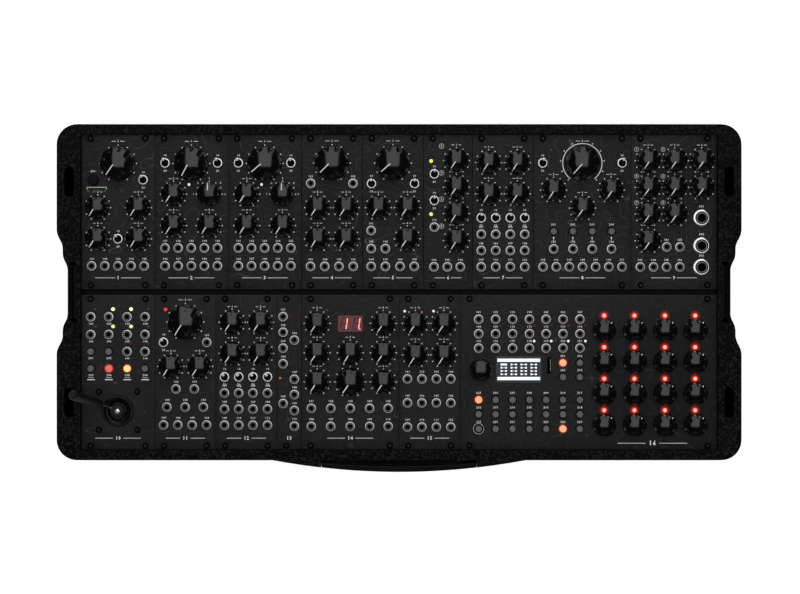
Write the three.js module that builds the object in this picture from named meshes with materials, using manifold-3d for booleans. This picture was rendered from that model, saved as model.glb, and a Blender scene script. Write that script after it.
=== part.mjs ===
// Modular synthesizer: two rows of modules in a flat moulded travel case.
// Millimetres, +Z up. The case lies on its back with the panels facing up.
// +X is the player's right, the carrying handle is on the -Y side,
// and the origin is at the middle of the whole object's underside.

import * as THREE from 'three';
import { mergeVertices } from 'three/addons/utils/BufferGeometryUtils.js';
import Module from 'manifold-3d';

const wasm = await Module();
wasm.setup();

// Rack: 104 width units of 5.08 mm, the panels and their spacing
const rackWidth = 528.32;
const panelHeight = 128.5;
const panelThickness = 2;
const rowGap = 4.85;
const panelGap = 0.4;

// Clearances: between pieces that touch, how far joined solids sink into each other,
// and how far a cutter runs past the face that it cuts
const fitGap = 0.3;
const sink = 0.8;
const overrun = 2;

// Case: a moulded shell with a flat rim round the panels
const caseHeight = 78;
const sideRim = 20.4;
const rearRim = 8.6;
const frontRim = 8.9;
const cornerRadius = 17;
const wall = 3;
const floorThickness = 4;
const rimDrop = 3;
const rimOverRail = 0.8;
const rimBevel = 1.4;
const draftShare = 0.005;
const footDiameter = 20;
const footHeight = 2;
const footInset = 22;

// Waists: the stepped recesses in the middle of both sides
const waistInset = 9.2;
const ledgeInset = 5;
const waistHalf = 21;
const ledgeInnerHalf = 29;
const ledgeOuterHalf = 39;
const waistOuterHalf = 48.5;

// Rim slots, for a lid's tongues, and the slots over the nut plates
const slotWidth = 8;
const slotLength = 25;
const slotInset = 10.6;
const slotEndInset = 39.225;
const plateSlotLength = 50;
const plateSlotWall = 1.6;

// Nut plates, which the thumbscrews of a stand leg go into
const nutPlateThickness = 2.4;
const nutPlateLength = 44;
const nutPlateDrop = 2.4;
const thumbscrewDiameter = 5.5;
const thumbscrewSpacing = 26;
const tappedDiameter = 4.2;

// Front bulge and the carrying handle in it
const bulgeWidth = 210;
const bulgeRise = 9.8;
const handleWidth = 129;
const handleDrop = 1.4;
const handleRise = 2.7;
const handleBar = 10;
const handlePost = 13;
const handleBackSag = 3;
const handleBackGap = 1.3;
const handlePinDiameter = 3.6;
const handlePinLength = 5;
const notchFloor = 14;
const handleFloorGap = 8.6;

// Rails: extruded bars that the panels are screwed to
const railUnder = 9;
const railHeight = 10;
const railEndGap = 0.6;
const grooveWidth = 2.6;
const grooveDepth = 5;
const supportLength = 12;

// Bus board on the case floor, with its power headers
const busInset = 29.16;
const busWidth = 34;
const busRise = 8;
const busPostWidth = 7;
const busPostInset = 12;
const headerLength = 22;
const headerWidth = 9;
const headerHeight = 9;
const headerCount = 12;
const headerEndInset = 15;

// Circuit boards behind the panels, and their spacers
const boardThickness = 1.6;
const boardRailGap = 2.25;
const boardMargin = 1.2;
const boardDepth = 10;
const deepBoardDepth = 16;
const spacerWidth = 4;
const spacerInset = 4;

// Panel screws
const screwInset = 7.5;
const screwEdge = 3.2;
const screwDiameter = 5.6;
const screwHeight = 2;

// Jack sockets: small ones, and large ones on the output module
const jackNutDiameter = 8.4;
const jackNutHeight = 1.8;
const jackBore = 3.6;
const largeJackDiameter = 15;
const largeJackHeight = 3;
const largeJackBore = 6.9;
const largeJackDepth = 9;
const largeJackBody = 11;

// Knobs. The bore under each turning knob fits over its shaft.
const shaftDiameter = 6;
const shaftRise = 8;
const knobLift = 0.8;
const largeKnob = {
  skirt: 28.5, skirtHeight: 1.6, cap: 27.2, height: 16.5, crown: 2.6, flutes: 8,
};
const mediumKnob = {
  skirt: 23.5, skirtHeight: 1.5, cap: 22.4, height: 15.5, crown: 2.2, flutes: 8,
};
const smallKnob = {
  skirt: 19.5, skirtHeight: 1.4, cap: 18.6, height: 14.5, crown: 1.8, flutes: 6,
};
const stepKnob = {
  skirt: 19.3, skirtHeight: 1.4, cap: 18.4, height: 14.5, crown: 1.8, flutes: 6,
};
const dataKnob = {
  skirt: 18.6, skirtHeight: 1.4, cap: 17.4, height: 14, crown: 1.4, flutes: 8,
};
const fluteShare = 0.07;
const capSlopeShare = 0.95;
const crownShare = 0.55;

// Toggle switches
const toggleNutDiameter = 8.9;
const toggleNutHeight = 2;
const toggleBushDiameter = 5.8;
const toggleBushHeight = 4.6;
const toggleBushBore = 4.4;
const togglePivotHeight = 2.2;
const toggleLeverLength = 12;
const toggleRootDiameter = 1.9;
const toggleTipDiameter = 2.9;
const toggleTilt = THREE.MathUtils.degToRad(12);

// Push buttons
const buttonDiameter = 6.8;
const buttonHeight = 3;
const buttonDepth = 5;
const wideButtonDiameter = 9.7;
const wideButtonHeight = 3.4;

// Displays and the memory card slot
const numberDisplay = { width: 20.5, height: 13.3 };
const dotDisplay = { width: 37.8, height: 21.9 };
const displayRecess = 1;
const cardSlot = { width: 3.4, height: 13.8 };

// Joystick: a cross-shaped gimbal under a dome, and the lever on top
const domeRadius = 8.4;
const domeThickness = 1;
const domeReach = THREE.MathUtils.degToRad(78);
const pivotDepth = 5.5;
const bezelWidth = 4.8;
const bezelHeight = 1.4;
const leverLength = 62;
const gripStart = 25;
const gripDiameter = 8.2;
const leverDiameter = 3.2;
const forkInner = 4;
const forkThickness = 1.8;
const forkWidth = 5;
const crossPinDiameter = 2.2;
const crossPinGap = 0.35;
const crossBlock = 4.4;
const bracketGap = 1.1;
const bracketThickness = 1.8;
const bracketWidth = 4;
const bracketRise = 2;
const leverTiltX = THREE.MathUtils.degToRad(-16.8);
const leverTiltY = THREE.MathUtils.degToRad(-28.4);

// Counts of sides of the round pieces
const tinySides = 6;
const smallSides = 8;
const roundSides = 12;
const leverSides = 4;
const arcSteps = 3;

// Modules: their widths in units, and what each panel carries

// All places in a rectangle of columns and rows
function grid(xShares, yShares) {
  return yShares.flatMap((yShare) => xShares.map((xShare) => [xShare, yShare]));
}

// Places on each panel, as shares of its width and height from its middle
const rearRow = [
  {
    name: 'wavetable_oscillator',
    units: 12,
    largeKnobShares: [[0, 0.313]],
    smallKnobShares: grid([-0.28, 0.28], [0.027, -0.175]),
    toggleShares: [[0.345, 0.206], [0, -0.175]],
    wideButtonShares: [[-0.343, 0.206]],
    jackShares: grid([-0.36, -0.18, 0, 0.18, 0.36], [-0.35]),
  },
  ...['oscillator_one', 'oscillator_two'].map((name) => ({
    name,
    units: 12,
    largeKnobShares: [[0, 0.313]],
    smallKnobShares: grid([-0.245, 0.245], [0.114, -0.089]),
    toggleShares: grid([-0.36, 0.36], [0.315]),
    jackShares: grid([-0.36, -0.18, 0, 0.18, 0.36], [-0.234, -0.35]),
  })),
  {
    name: 'filter',
    units: 10,
    largeKnobShares: [[0, 0.316]],
    smallKnobShares: grid([-0.236, 0.236], [0.027, -0.175]),
    jackShares: [
      ...grid([-0.348, 0.348], [0.184]),
      ...grid([-0.352, -0.117, 0.117, 0.352], [-0.353]),
    ],
  },
  {
    name: 'low_pass_gate',
    units: 10,
    largeKnobShares: [[0, 0.316]],
    smallKnobShares: [...grid([-0.24, 0.24], [0.027]), [0.235, -0.175]],
    toggleShares: grid([-0.355, 0.355], [0.182]),
    jackShares: [
      [-0.36, -0.121],
      ...grid([-0.36, -0.126], [-0.238]),
      ...grid([-0.36, -0.126, 0.116, 0.35], [-0.353]),
    ],
  },
  {
    name: 'envelope',
    units: 8,
    smallKnobShares: grid([0.175], [0.332, 0.159, -0.011, -0.186]),
    toggleShares: grid([-0.283], [0.244, 0.073]),
    jackShares: [[-0.283, -0.099], ...grid([-0.29, -0.015, 0.253], [-0.356])],
    screwColumns: 1,
  },
  {
    name: 'quad_amplifier_rear',
    units: 10,
    smallKnobShares: grid([-0.237, 0.237], [0.318, 0.116]),
    toggleShares: grid([-0.36, -0.121, 0.119, 0.358], [-0.039]),
    jackShares: grid([-0.36, -0.121, 0.119, 0.358], [-0.145, -0.25, -0.356]),
  },
  {
    name: 'stereo_delay',
    units: 16,
    turning: true,
    largeKnobShares: [[0, 0.315]],
    smallKnobShares: [...grid([-0.296, 0.296], [0.141]), [0, 0.024]],
    toggleShares: grid([-0.408, 0.408], [0.315]),
    buttonShares: grid([-0.296, -0.098, 0.1, 0.298], [-0.126]),
    jackShares: [
      ...grid([-0.296, -0.098, 0.1, 0.298], [-0.24]),
      ...grid([-0.406, -0.27, -0.135, 0, 0.135, 0.27, 0.406], [-0.356]),
    ],
  },
  {
    name: 'output',
    units: 14,
    smallKnobShares: [
      ...grid([-0.304, 0.008, 0.326], [0.331, 0.158]),
      ...grid([-0.304, 0.008], [-0.014]),
      [-0.304, -0.188],
    ],
    jackShares: [
      ...grid([-0.088, 0.066], [-0.227]),
      ...grid([-0.399, -0.243, -0.09, 0.066], [-0.357]),
    ],
    largeJackShares: grid([0.322], [-0.04, -0.22, -0.359]),
  },
];

const frontRow = [
  {
    name: 'joystick',
    units: 12,
    deepBoard: true,
    joystickShares: [[0, -0.25]],
    buttonShares: [
      ...grid([-0.372, -0.126], [0.134]),
      ...grid([-0.372, -0.126, 0.126, 0.372], [0.024]),
    ],
    jackShares: [
      ...grid([-0.372, -0.126, 0.126, 0.372], [0.358, 0.244]),
      ...grid([0.126, 0.372], [0.134]),
    ],
  },
  {
    name: 'modulator',
    units: 10,
    largeKnobShares: [[0, 0.325]],
    smallKnobShares: grid([-0.237, 0.237], [0.037]),
    toggleShares: [[-0.356, 0.193]],
    jackShares: [
      [0.356, 0.193],
      ...grid([-0.151, 0.151], [-0.108]),
      ...grid([-0.3, 0, 0.3], [-0.225]),
      ...grid([-0.355, -0.12, 0.115, 0.354], [-0.341]),
    ],
  },
  {
    name: 'quad_amplifier_front',
    units: 10,
    smallKnobShares: grid([-0.234, 0.234], [0.323, 0.121]),
    toggleShares: grid([-0.36, -0.124, 0.11, 0.35], [-0.03]),
    jackShares: grid([-0.36, -0.124, 0.11, 0.35], [-0.134, -0.238, -0.342]),
  },
  {
    name: 'mixer_splitter',
    units: 4,
    jackShares: [
      ...grid([-0.25], [0.36, 0.259, 0.156, 0.055, -0.202]),
      ...grid([0.22], [0.208, -0.045, -0.144, -0.247, -0.348]),
    ],
    screwColumns: 1,
  },
  {
    name: 'effects',
    units: 16,
    mediumKnobShares: [[0, -0.063]],
    smallKnobShares: [
      ...grid([-0.34, 0.34], [0.316, -0.063]),
      ...grid([-0.34, 0, 0.34], [0.125]),
    ],
    displays: [{ ...numberDisplay, xShare: 0, yShare: 0.314 }],
    jackShares: grid([-0.4, -0.2, 0, 0.2, 0.39], [-0.233, -0.35]),
  },
  {
    name: 'voltage_tools',
    units: 10,
    smallKnobShares: grid([-0.235, 0.235], [0.316, 0.112]),
    jackShares: grid([-0.366, -0.128, 0.111, 0.348], [-0.043, -0.198, -0.354]),
  },
  {
    name: 'sequencer',
    units: 42,
    stepKnobShares: grid([0.061, 0.179, 0.298, 0.416], [0.272, 0.068, -0.136, -0.34]),
    dataKnobShares: [[-0.42, 0.014]],
    displays: [
      { ...dotDisplay, xShare: -0.272, yShare: 0.018 },
      { ...cardSlot, xShare: -0.153, yShare: 0.044 },
    ],
    buttonShares: [
      ...grid([-0.1, -0.034], [0.061, -0.031]),
      ...grid([-0.429, -0.363, -0.297, -0.231, -0.166, -0.1, -0.034], [-0.178, -0.272, -0.366]),
    ],
    jackShares: grid([-0.429, -0.363, -0.297, -0.231, -0.166, -0.1, -0.034], [0.343, 0.249, 0.156]),
  },
];

function unitsOf(layouts) {
  return layouts.reduce((total, layout) => total + layout.units, 0);
}

// Sizes that follow from the ones above
const unitWidth = rackWidth / Math.max(unitsOf(rearRow), unitsOf(frontRow));
const rowPitch = panelHeight + rowGap;
const rowsHalf = (rowPitch + panelHeight) / 2;
const panelTop = caseHeight - rimDrop;
const railTop = panelTop - panelThickness - fitGap;
const rimUnderside = railTop + rimOverRail;
const caseHalfWidth = rackWidth / 2 + sideRim;
const caseFront = -(rowsHalf + frontRim);
const caseRear = rowsHalf + rearRim;
const caseLean = draftShare * caseHalfWidth;
const slotSpacing = 2 * (rowsHalf - slotEndInset);
const plateOuter = waistInset + wall + fitGap;
const plateInner = plateOuter + nutPlateThickness + caseLean;
const plateSlotWidth = plateInner + fitGap - waistInset - plateSlotWall;
const railOverhang = sideRim - plateInner - railEndGap;
const boardHeight = panelHeight - 2 * (railUnder + boardRailGap);
const busLength = rackWidth - 2 * busInset;
const headerPitch = (busLength - 2 * headerEndInset - headerLength) / (headerCount - 1);
const bezelDiameter = 2 * (domeRadius + bezelWidth);
const bracketInner = domeRadius - domeThickness - bracketThickness - bracketGap;

// The front bulge is an arc, and the handle's pins are in the middle of the handle's ends
const bulgeRadius = arcRadius(bulgeWidth, bulgeRise);
const handleEndDip = bulgeRadius - Math.sqrt(bulgeRadius ** 2 - (handleWidth / 2) ** 2);
const handlePivotY = caseFront - (handleBackGap + bulgeRise - handleEndDip) / 2;
const handlePivotZ = caseHeight - handleDrop - handleRise;
const handleHeight = caseHeight - handleDrop - notchFloor - handleFloorGap;

const materials = {
  case: finish(0x1b1b1c, 0.6, 0),
  handle: finish(0x232324, 0.45, 0),
  steel: finish(0x9a9da0, 0.35, 1),
  rail: finish(0xb4b6b8, 0.4, 1),
  board: finish(0x1f4a2c, 0.6, 0),
  panel: finish(0x262728, 0.5, 0.6),
  knob: finish(0x0b0b0c, 0.12, 0),
  grip: finish(0x121213, 0.5, 0),
  button: finish(0xc9c6c0, 0.4, 0),
};

function finish(colour, roughness, metalness) {
  return new THREE.MeshStandardMaterial({ color: colour, roughness, metalness });
}

// Radius of the circle whose arc has this chord and this rise
function arcRadius(chord, rise) {
  return (chord * chord) / (8 * rise) + rise / 2;
}

// Solids

// Merge a closed geometry's shared vertices and hand it over for joining and cutting
function toSolid(geometry) {
  const bare = geometry.clone();
  bare.deleteAttribute('normal');
  bare.deleteAttribute('uv');
  const merged = mergeVertices(bare);
  const corners = merged.index.array;
  const faces = [];
  for (let i = 0; i < corners.length; i += 3) {
    const [a, b, c] = corners.slice(i, i + 3);
    if (a !== b && b !== c && c !== a) faces.push(a, b, c);
  }
  const positions = merged.attributes.position.array;
  return new wasm.Manifold(new wasm.Mesh({
    numProp: 3,
    vertProperties: positions,
    triVerts: new Uint32Array(faces),
  }));
}

function toGeometry(solid) {
  const { vertProperties, triVerts } = solid.getMesh();
  const geometry = new THREE.BufferGeometry();
  geometry.setAttribute('position', new THREE.BufferAttribute(vertProperties, 3));
  geometry.setIndex(new THREE.BufferAttribute(triVerts, 1));
  geometry.computeVertexNormals();
  return geometry;
}

function join(geometries) {
  return wasm.Manifold.union(geometries.map(toSolid));
}

function node(name, geometries, cutters, material) {
  let solid = join(geometries);
  if (cutters.length > 0) solid = solid.subtract(join(cutters));
  const mesh = new THREE.Mesh(toGeometry(solid), material);
  mesh.name = name;
  return mesh;
}

// A box by its middle in X and Y and its two heights
function block(width, depth, bottom, top, x = 0, y = 0) {
  const box = new THREE.BoxGeometry(width, depth, top - bottom);
  return box.translate(x, y, (bottom + top) / 2);
}

// An upright prism with a flat at its sides, drawn round the given diameter's corners
function prism(diameter, bottom, top, sides, x = 0, y = 0, topDiameter = diameter) {
  const cylinder = new THREE.CylinderGeometry(topDiameter / 2, diameter / 2, top - bottom, sides);
  return cylinder.rotateX(Math.PI / 2).translate(x, y, (bottom + top) / 2);
}

// The corner diameter of a hole that a round piece turns in with the clearance left free
function clearBore(diameter, sides, gap = fitGap) {
  return (diameter + 2 * gap) / Math.cos(Math.PI / sides);
}

function pinAlongX(diameter, from, to, y, z, sides = smallSides) {
  const pin = new THREE.CylinderGeometry(diameter / 2, diameter / 2, to - from, sides);
  return pin.rotateZ(Math.PI / 2).translate((from + to) / 2, y, z);
}

function extrudeUp(shape, bottom, top, curveSegments) {
  const options = { depth: top - bottom, bevelEnabled: false, curveSegments };
  return new THREE.ExtrudeGeometry(shape, options).translate(0, 0, bottom);
}

// Case

// The case's outline seen from above, drawn in from the outer face by the inset
function caseOutline(inset, withBulge) {
  const half = caseHalfWidth - inset;
  const rear = caseRear - inset;
  const front = caseFront + inset;
  const radius = cornerRadius - inset;
  const spread = inset / 2;
  const waist = [
    [0, waistOuterHalf],
    [ledgeInset, ledgeOuterHalf],
    [ledgeInset, ledgeInnerHalf],
    [waistInset, waistHalf],
  ].map(([depth, y]) => [half - depth, y + spread]);
  const shape = new THREE.Shape();
  shape.moveTo(-half + radius, front);
  if (withBulge) {
    const reach = Math.asin(bulgeWidth / 2 / bulgeRadius);
    const middle = front - bulgeRise + bulgeRadius;
    const down = -Math.PI / 2;
    shape.absarc(0, middle, bulgeRadius, down - reach, down + reach, false);
  }
  shape.absarc(half - radius, front + radius, radius, -Math.PI / 2, 0, false);
  for (const [x, y] of waist) shape.lineTo(x, -y);
  for (const [x, y] of [...waist].reverse()) shape.lineTo(x, y);
  shape.absarc(half - radius, rear - radius, radius, 0, Math.PI / 2, false);
  shape.absarc(-half + radius, rear - radius, radius, Math.PI / 2, Math.PI, false);
  for (const [x, y] of waist) shape.lineTo(-x, y);
  for (const [x, y] of [...waist].reverse()) shape.lineTo(-x, -y);
  shape.absarc(-half + radius, front + radius, radius, Math.PI, 1.5 * Math.PI, false);
  return shape;
}

// Moulded walls lean in towards the floor, so that the shell leaves its mould
function drafted(geometry) {
  const points = geometry.attributes.position;
  for (let i = 0; i < points.count; i += 1) {
    const lean = 1 - draftShare * (1 - points.getZ(i) / caseHeight);
    points.setX(i, points.getX(i) * lean);
    points.setY(i, points.getY(i) * lean);
  }
  return geometry;
}

function slotOutline(width, length) {
  const radius = width / 2;
  const straight = length / 2 - radius;
  const shape = new THREE.Shape();
  shape.absarc(0, straight, radius, 0, Math.PI, false);
  shape.absarc(0, -straight, radius, Math.PI, 2 * Math.PI, false);
  return shape;
}

function caseShell() {
  const shapeHeight = caseHeight - footHeight;
  const moulded = new THREE.ExtrudeGeometry(caseOutline(0, true), {
    depth: shapeHeight - 2 * rimBevel,
    bevelThickness: rimBevel,
    bevelSize: rimBevel,
    bevelOffset: -rimBevel,
    bevelSegments: 1,
    curveSegments: arcSteps,
  }).translate(0, 0, footHeight + rimBevel);
  const solids = [drafted(moulded)];
  for (const x of [-1, 1]) {
    for (const y of [caseFront + footInset, caseRear - footInset]) {
      const footX = x * (caseHalfWidth - footInset);
      solids.push(prism(footDiameter, 0, footHeight + sink, smallSides, footX, y));
    }
  }

  const openWidth = rackWidth + 2 * panelGap;
  const openDepth = 2 * (rowsHalf + panelGap);
  const cavityFloor = footHeight + floorThickness;
  const cutters = [
    drafted(extrudeUp(caseOutline(wall, false), cavityFloor, rimUnderside, arcSteps)),
    block(openWidth, openDepth, rimUnderside - sink, caseHeight + overrun),
  ];
  for (const side of [-1, 1]) {
    for (const end of [-1, 1]) {
      const slot = extrudeUp(slotOutline(slotWidth, slotLength), rimUnderside - sink,
        caseHeight + overrun, arcSteps);
      slot.translate(side * (caseHalfWidth - slotInset), end * slotSpacing / 2, 0);
      cutters.push(slot);
    }
    const plateSlotX = caseHalfWidth - waistInset - plateSlotWall - plateSlotWidth / 2;
    cutters.push(block(plateSlotWidth, plateSlotLength, rimUnderside - sink,
      caseHeight + overrun, side * plateSlotX));
    for (const z of thumbscrewHeights()) {
      const hole = pinAlongX(thumbscrewDiameter, -wall - overrun, wall + overrun, 0, z);
      cutters.push(hole.translate(side * (caseHalfWidth - waistInset - wall / 2), 0, 0));
    }
  }

  const notchWidth = handleWidth + 2 * fitGap;
  const notchDepth = bulgeRise + overrun;
  cutters.push(block(notchWidth, notchDepth, notchFloor, caseHeight + overrun,
    0, caseFront - notchDepth / 2));
  const pinReach = handleWidth / 2 + handlePinLength + fitGap;
  const pinBore = clearBore(handlePinDiameter, smallSides);
  cutters.push(pinAlongX(pinBore, -pinReach, pinReach, handlePivotY, handlePivotZ));

  const shell = join(solids).subtract(join(cutters)).add(join(railSupports()));
  const mesh = new THREE.Mesh(toGeometry(shell), materials.case);
  mesh.name = 'case_shell';
  return mesh;
}

function thumbscrewHeights() {
  const middle = (footHeight + panelTop) / 2;
  return [middle - thumbscrewSpacing / 2, middle + thumbscrewSpacing / 2];
}

// Posts that stand on the case floor under both ends of every rail
function railSupports() {
  const posts = [];
  const bottom = footHeight + floorThickness - sink;
  const top = railTop - railHeight - fitGap;
  for (const { width, y } of Object.values(railPlaces())) {
    for (const side of [-1, 1]) {
      const x = side * (rackWidth / 2 + railOverhang - supportLength / 2);
      posts.push(block(supportLength, width, bottom, top, x, y));
    }
  }
  return posts;
}

function nutPlate(name, side) {
  const bottom = footHeight + floorThickness + fitGap;
  const top = caseHeight - nutPlateDrop;
  const leanedX = side * (caseHalfWidth - plateInner + nutPlateThickness / 2);
  const plate = block(nutPlateThickness, nutPlateLength, bottom, top, leanedX);
  const holes = thumbscrewHeights().map((z) => {
    const reach = nutPlateThickness / 2 + overrun;
    return pinAlongX(tappedDiameter, leanedX - reach, leanedX + reach, 0, z);
  });
  return node(name, [plate], holes, materials.steel);
}

// Handle: a curved frame that hangs from two pins in the cheeks of the bulge
function handleBail() {
  const half = handleWidth / 2;
  const outerReach = Math.asin(half / bulgeRadius);
  const down = -Math.PI / 2;
  const outerMiddle = caseFront - bulgeRise + bulgeRadius;
  const backRadius = arcRadius(handleWidth, handleBackSag);
  const backReach = Math.asin(half / backRadius);
  const backMiddle = caseFront - handleBackGap - handleBackSag + backRadius;
  const shape = new THREE.Shape();
  shape.absarc(0, outerMiddle, bulgeRadius, down - outerReach, down + outerReach, false);
  shape.absarc(0, backMiddle, backRadius, down + backReach, down - backReach, true);
  const top = handlePivotZ + handleRise;
  const bottom = top - handleHeight;
  const frame = extrudeUp(shape, bottom, top, arcSteps);
  const pins = [-1, 1].map((side) => {
    const inner = side * (half - sink);
    const outer = side * (half + handlePinLength);
    const ends = [inner, outer].sort((a, b) => a - b);
    return pinAlongX(handlePinDiameter, ends[0], ends[1], handlePivotY, handlePivotZ);
  });
  const windowWidth = handleWidth - 2 * handlePost;
  const window = block(windowWidth, bulgeRise + 2 * overrun, bottom + handleBar, top - handleBar,
    0, caseFront - bulgeRise / 2);
  const mesh = node('handle_bail', [frame, ...pins], [window], materials.handle);
  mesh.geometry.translate(0, -handlePivotY, -handlePivotZ);
  mesh.position.set(0, handlePivotY, handlePivotZ);
  return mesh;
}

// Rails

// Each rail's width and middle: one under the outer edge of each row, a wide one between them
function railPlaces() {
  const outer = (rowPitch + panelHeight) / 2 - railUnder / 2;
  const between = rowGap + 2 * railUnder;
  return {
    rail_rear: { width: railUnder, y: outer, grooves: [railUnder / 2 - screwEdge] },
    rail_middle: {
      width: between,
      y: 0,
      grooves: [screwEdge - between / 2 + railUnder, between / 2 - railUnder - screwEdge]
        .map((offset) => -offset),
    },
    rail_front: { width: railUnder, y: -outer, grooves: [screwEdge - railUnder / 2] },
  };
}

// The rail's section has a groove along its top for the panel screws
function rail(name, { width, y, grooves }) {
  const top = railTop;
  const bottom = railTop - railHeight;
  const length = rackWidth + 2 * railOverhang;
  const slots = grooves.map((offset) => block(length + 2 * overrun, grooveWidth,
    top - grooveDepth, top + overrun, 0, y + offset));
  return node(name, [block(length, width, bottom, top, 0, y)], slots, materials.rail);
}

function busBoard() {
  const floor = footHeight + floorThickness + fitGap;
  const top = floor + busRise;
  const solids = [block(busLength, busWidth, top - boardThickness, top)];
  const postY = busWidth / 2 - busPostWidth / 2;
  for (const x of [-1, 1]) {
    for (const y of [-1, 1]) {
      solids.push(block(busPostWidth, busPostWidth, floor, top - boardThickness / 2,
        x * (busLength / 2 - busPostInset), y * postY));
    }
  }
  for (let i = 0; i < headerCount; i += 1) {
    const x = (i - (headerCount - 1) / 2) * headerPitch;
    solids.push(block(headerLength, headerWidth, top - boardThickness / 2,
      top + headerHeight, x));
  }
  return node('bus_board', solids, [], materials.board);
}

// Knobs

// How high a knob's dome is at its inner ring, where the dome falls away as a bowl does
function domeRing(knob) {
  const fall = knob.crown * (crownShare / capSlopeShare) ** 2;
  return [knob.cap / 2 * crownShare, knob.height - fall];
}

// A turning knob: a low skirt, a fluted cap with a domed top, and a bore for the shaft
function turningKnob(name, knob, sides) {
  const outer = knob.skirt / 2;
  const cap = knob.cap / 2;
  const profile = [
    [0, 0],
    [outer, 0],
    [cap, knob.skirtHeight],
    [cap * capSlopeShare, knob.height - knob.crown],
    domeRing(knob),
    [0, knob.height],
  ].map(([r, z]) => new THREE.Vector2(r, z));
  const body = new THREE.LatheGeometry(profile, sides).rotateX(Math.PI / 2);
  flute(body, knob, sides);
  const bore = prism(clearBore(shaftDiameter, tinySides), -overrun,
    shaftRise - knobLift + fitGap, tinySides);
  const mesh = node(name, [body], [bore], materials.knob);
  mesh.position.z = knobLift;
  return mesh;
}

// Draw in every second column of the cap, above the skirt
function flute(geometry, knob, sides) {
  const points = geometry.attributes.position;
  const columnAngle = (2 * Math.PI) / sides;
  for (let i = 0; i < points.count; i += 1) {
    const radius = Math.hypot(points.getX(i), points.getY(i));
    const angle = Math.atan2(points.getX(i), points.getY(i));
    const column = Math.round(angle / columnAngle);
    const onCap = radius <= knob.cap / 2 + sink / 2;
    if (onCap && column % 2 !== 0) {
      points.setX(i, points.getX(i) * (1 - fluteShare));
      points.setY(i, points.getY(i) * (1 - fluteShare));
    }
  }
}

// A knob that is joined to its module: skirt and domed cap in one plain turned shape
function fixedKnob(knob, x, y) {
  const profile = [
    [0, -sink],
    [knob.skirt / 2, -sink],
    [knob.skirt / 2, 0],
    [knob.cap / 2, knobLift + knob.skirtHeight],
    [knob.cap / 2 * capSlopeShare, knobLift + knob.height - knob.crown],
    [0, knobLift + knob.height],
  ].map(([r, z]) => new THREE.Vector2(r, z));
  const knobBody = new THREE.LatheGeometry(profile, smallSides);
  return knobBody.rotateX(Math.PI / 2).translate(x, y, 0);
}

function knobShaft(x, y) {
  return prism(shaftDiameter, -sink, shaftRise, tinySides, x, y);
}

// Toggle switches

function toggleLever(bottom) {
  return prism(toggleRootDiameter, bottom, toggleLeverLength, leverSides, 0, 0,
    toggleTipDiameter);
}

function fixedToggle(x, y) {
  const lever = toggleLever(-togglePivotHeight).rotateX(-toggleTilt);
  return [
    prism(toggleNutDiameter, -sink, toggleNutHeight, tinySides, x, y),
    lever.translate(x, y, togglePivotHeight),
  ];
}

function toggleBush(x, y) {
  return [
    prism(toggleNutDiameter, -sink, toggleNutHeight, tinySides, x, y),
    prism(toggleBushDiameter, -sink, toggleBushHeight, smallSides, x, y),
  ];
}

function turningToggle(name) {
  const mesh = node(name, [toggleLever(-toggleRootDiameter / 2)], [], materials.steel);
  mesh.position.z = togglePivotHeight;
  mesh.rotation.x = -toggleTilt;
  return mesh;
}

// Buttons, jacks and screws

function fixedButton(diameter, height, x, y) {
  return prism(diameter, -sink, height, tinySides, x, y);
}

function slidingButton(name) {
  const cap = prism(buttonDiameter, -buttonDepth, buttonHeight, smallSides);
  return node(name, [cap], [], materials.button);
}

function jackNut(x, y) {
  return prism(jackNutDiameter, -sink, jackNutHeight, tinySides, x, y);
}

function jackHole(x, y) {
  return prism(jackBore, -panelThickness - overrun, jackNutHeight + overrun, tinySides, x, y);
}

function largeJack(x, y) {
  return [
    prism(largeJackDiameter, -sink, largeJackHeight, roundSides, x, y),
    prism(largeJackBody, -panelThickness - largeJackDepth, -panelThickness + sink,
      smallSides, x, y),
  ];
}

function screwHead(x, y) {
  return prism(screwDiameter, -sink, screwHeight, tinySides, x, y);
}

// Joystick, drawn about the middle of its gimbal

function joystickBracket(side, boardTop) {
  const x = side * (bracketInner + bracketThickness / 2);
  return block(bracketThickness, bracketWidth, boardTop - sink, bracketRise - pivotDepth, x);
}

function joystickGimbal() {
  const reach = bracketInner + bracketThickness;
  const across = forkInner + forkThickness;
  const alongY = pinAlongX(crossPinDiameter, -across, across, 0, 0).rotateZ(Math.PI / 2);
  const hub = block(crossBlock, crossBlock, -crossBlock / 2, crossBlock / 2);
  return node('joystick_gimbal',
    [pinAlongX(crossPinDiameter, -reach, reach, 0, 0), alongY, hub], [], materials.steel);
}

function joystickLever() {
  const inner = domeRadius - domeThickness;
  const steps = 6;
  const arc = (radius, index) => {
    const angle = domeReach * index / steps;
    return new THREE.Vector2(radius * Math.sin(angle), radius * Math.cos(angle));
  };
  const outside = [];
  const inside = [];
  for (let i = 0; i <= steps; i += 1) {
    outside.push(arc(domeRadius, steps - i));
    inside.push(arc(inner, i));
  }
  const profile = [...inside, ...outside];
  const dome = new THREE.LatheGeometry(profile, roundSides).rotateX(Math.PI / 2);
  const forkTop = inner * Math.cos(Math.asin((forkInner + forkThickness) / inner)) + sink / 2;
  const forks = [-1, 1].map((side) => block(forkWidth, forkThickness, -forkWidth / 2, forkTop,
    0, side * (forkInner + forkThickness / 2)));
  const rod = prism(leverDiameter, inner - sink, gripStart + sink, smallSides);
  const grip = prism(gripDiameter, gripStart, leverLength, smallSides);
  const boreReach = forkInner + forkThickness + overrun;
  const bore = pinAlongX(clearBore(crossPinDiameter, smallSides, crossPinGap),
    -boreReach, boreReach, 0, 0).rotateZ(Math.PI / 2);
  return node('joystick_lever', [dome, ...forks, rod, grip], [bore], materials.grip);
}

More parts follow.
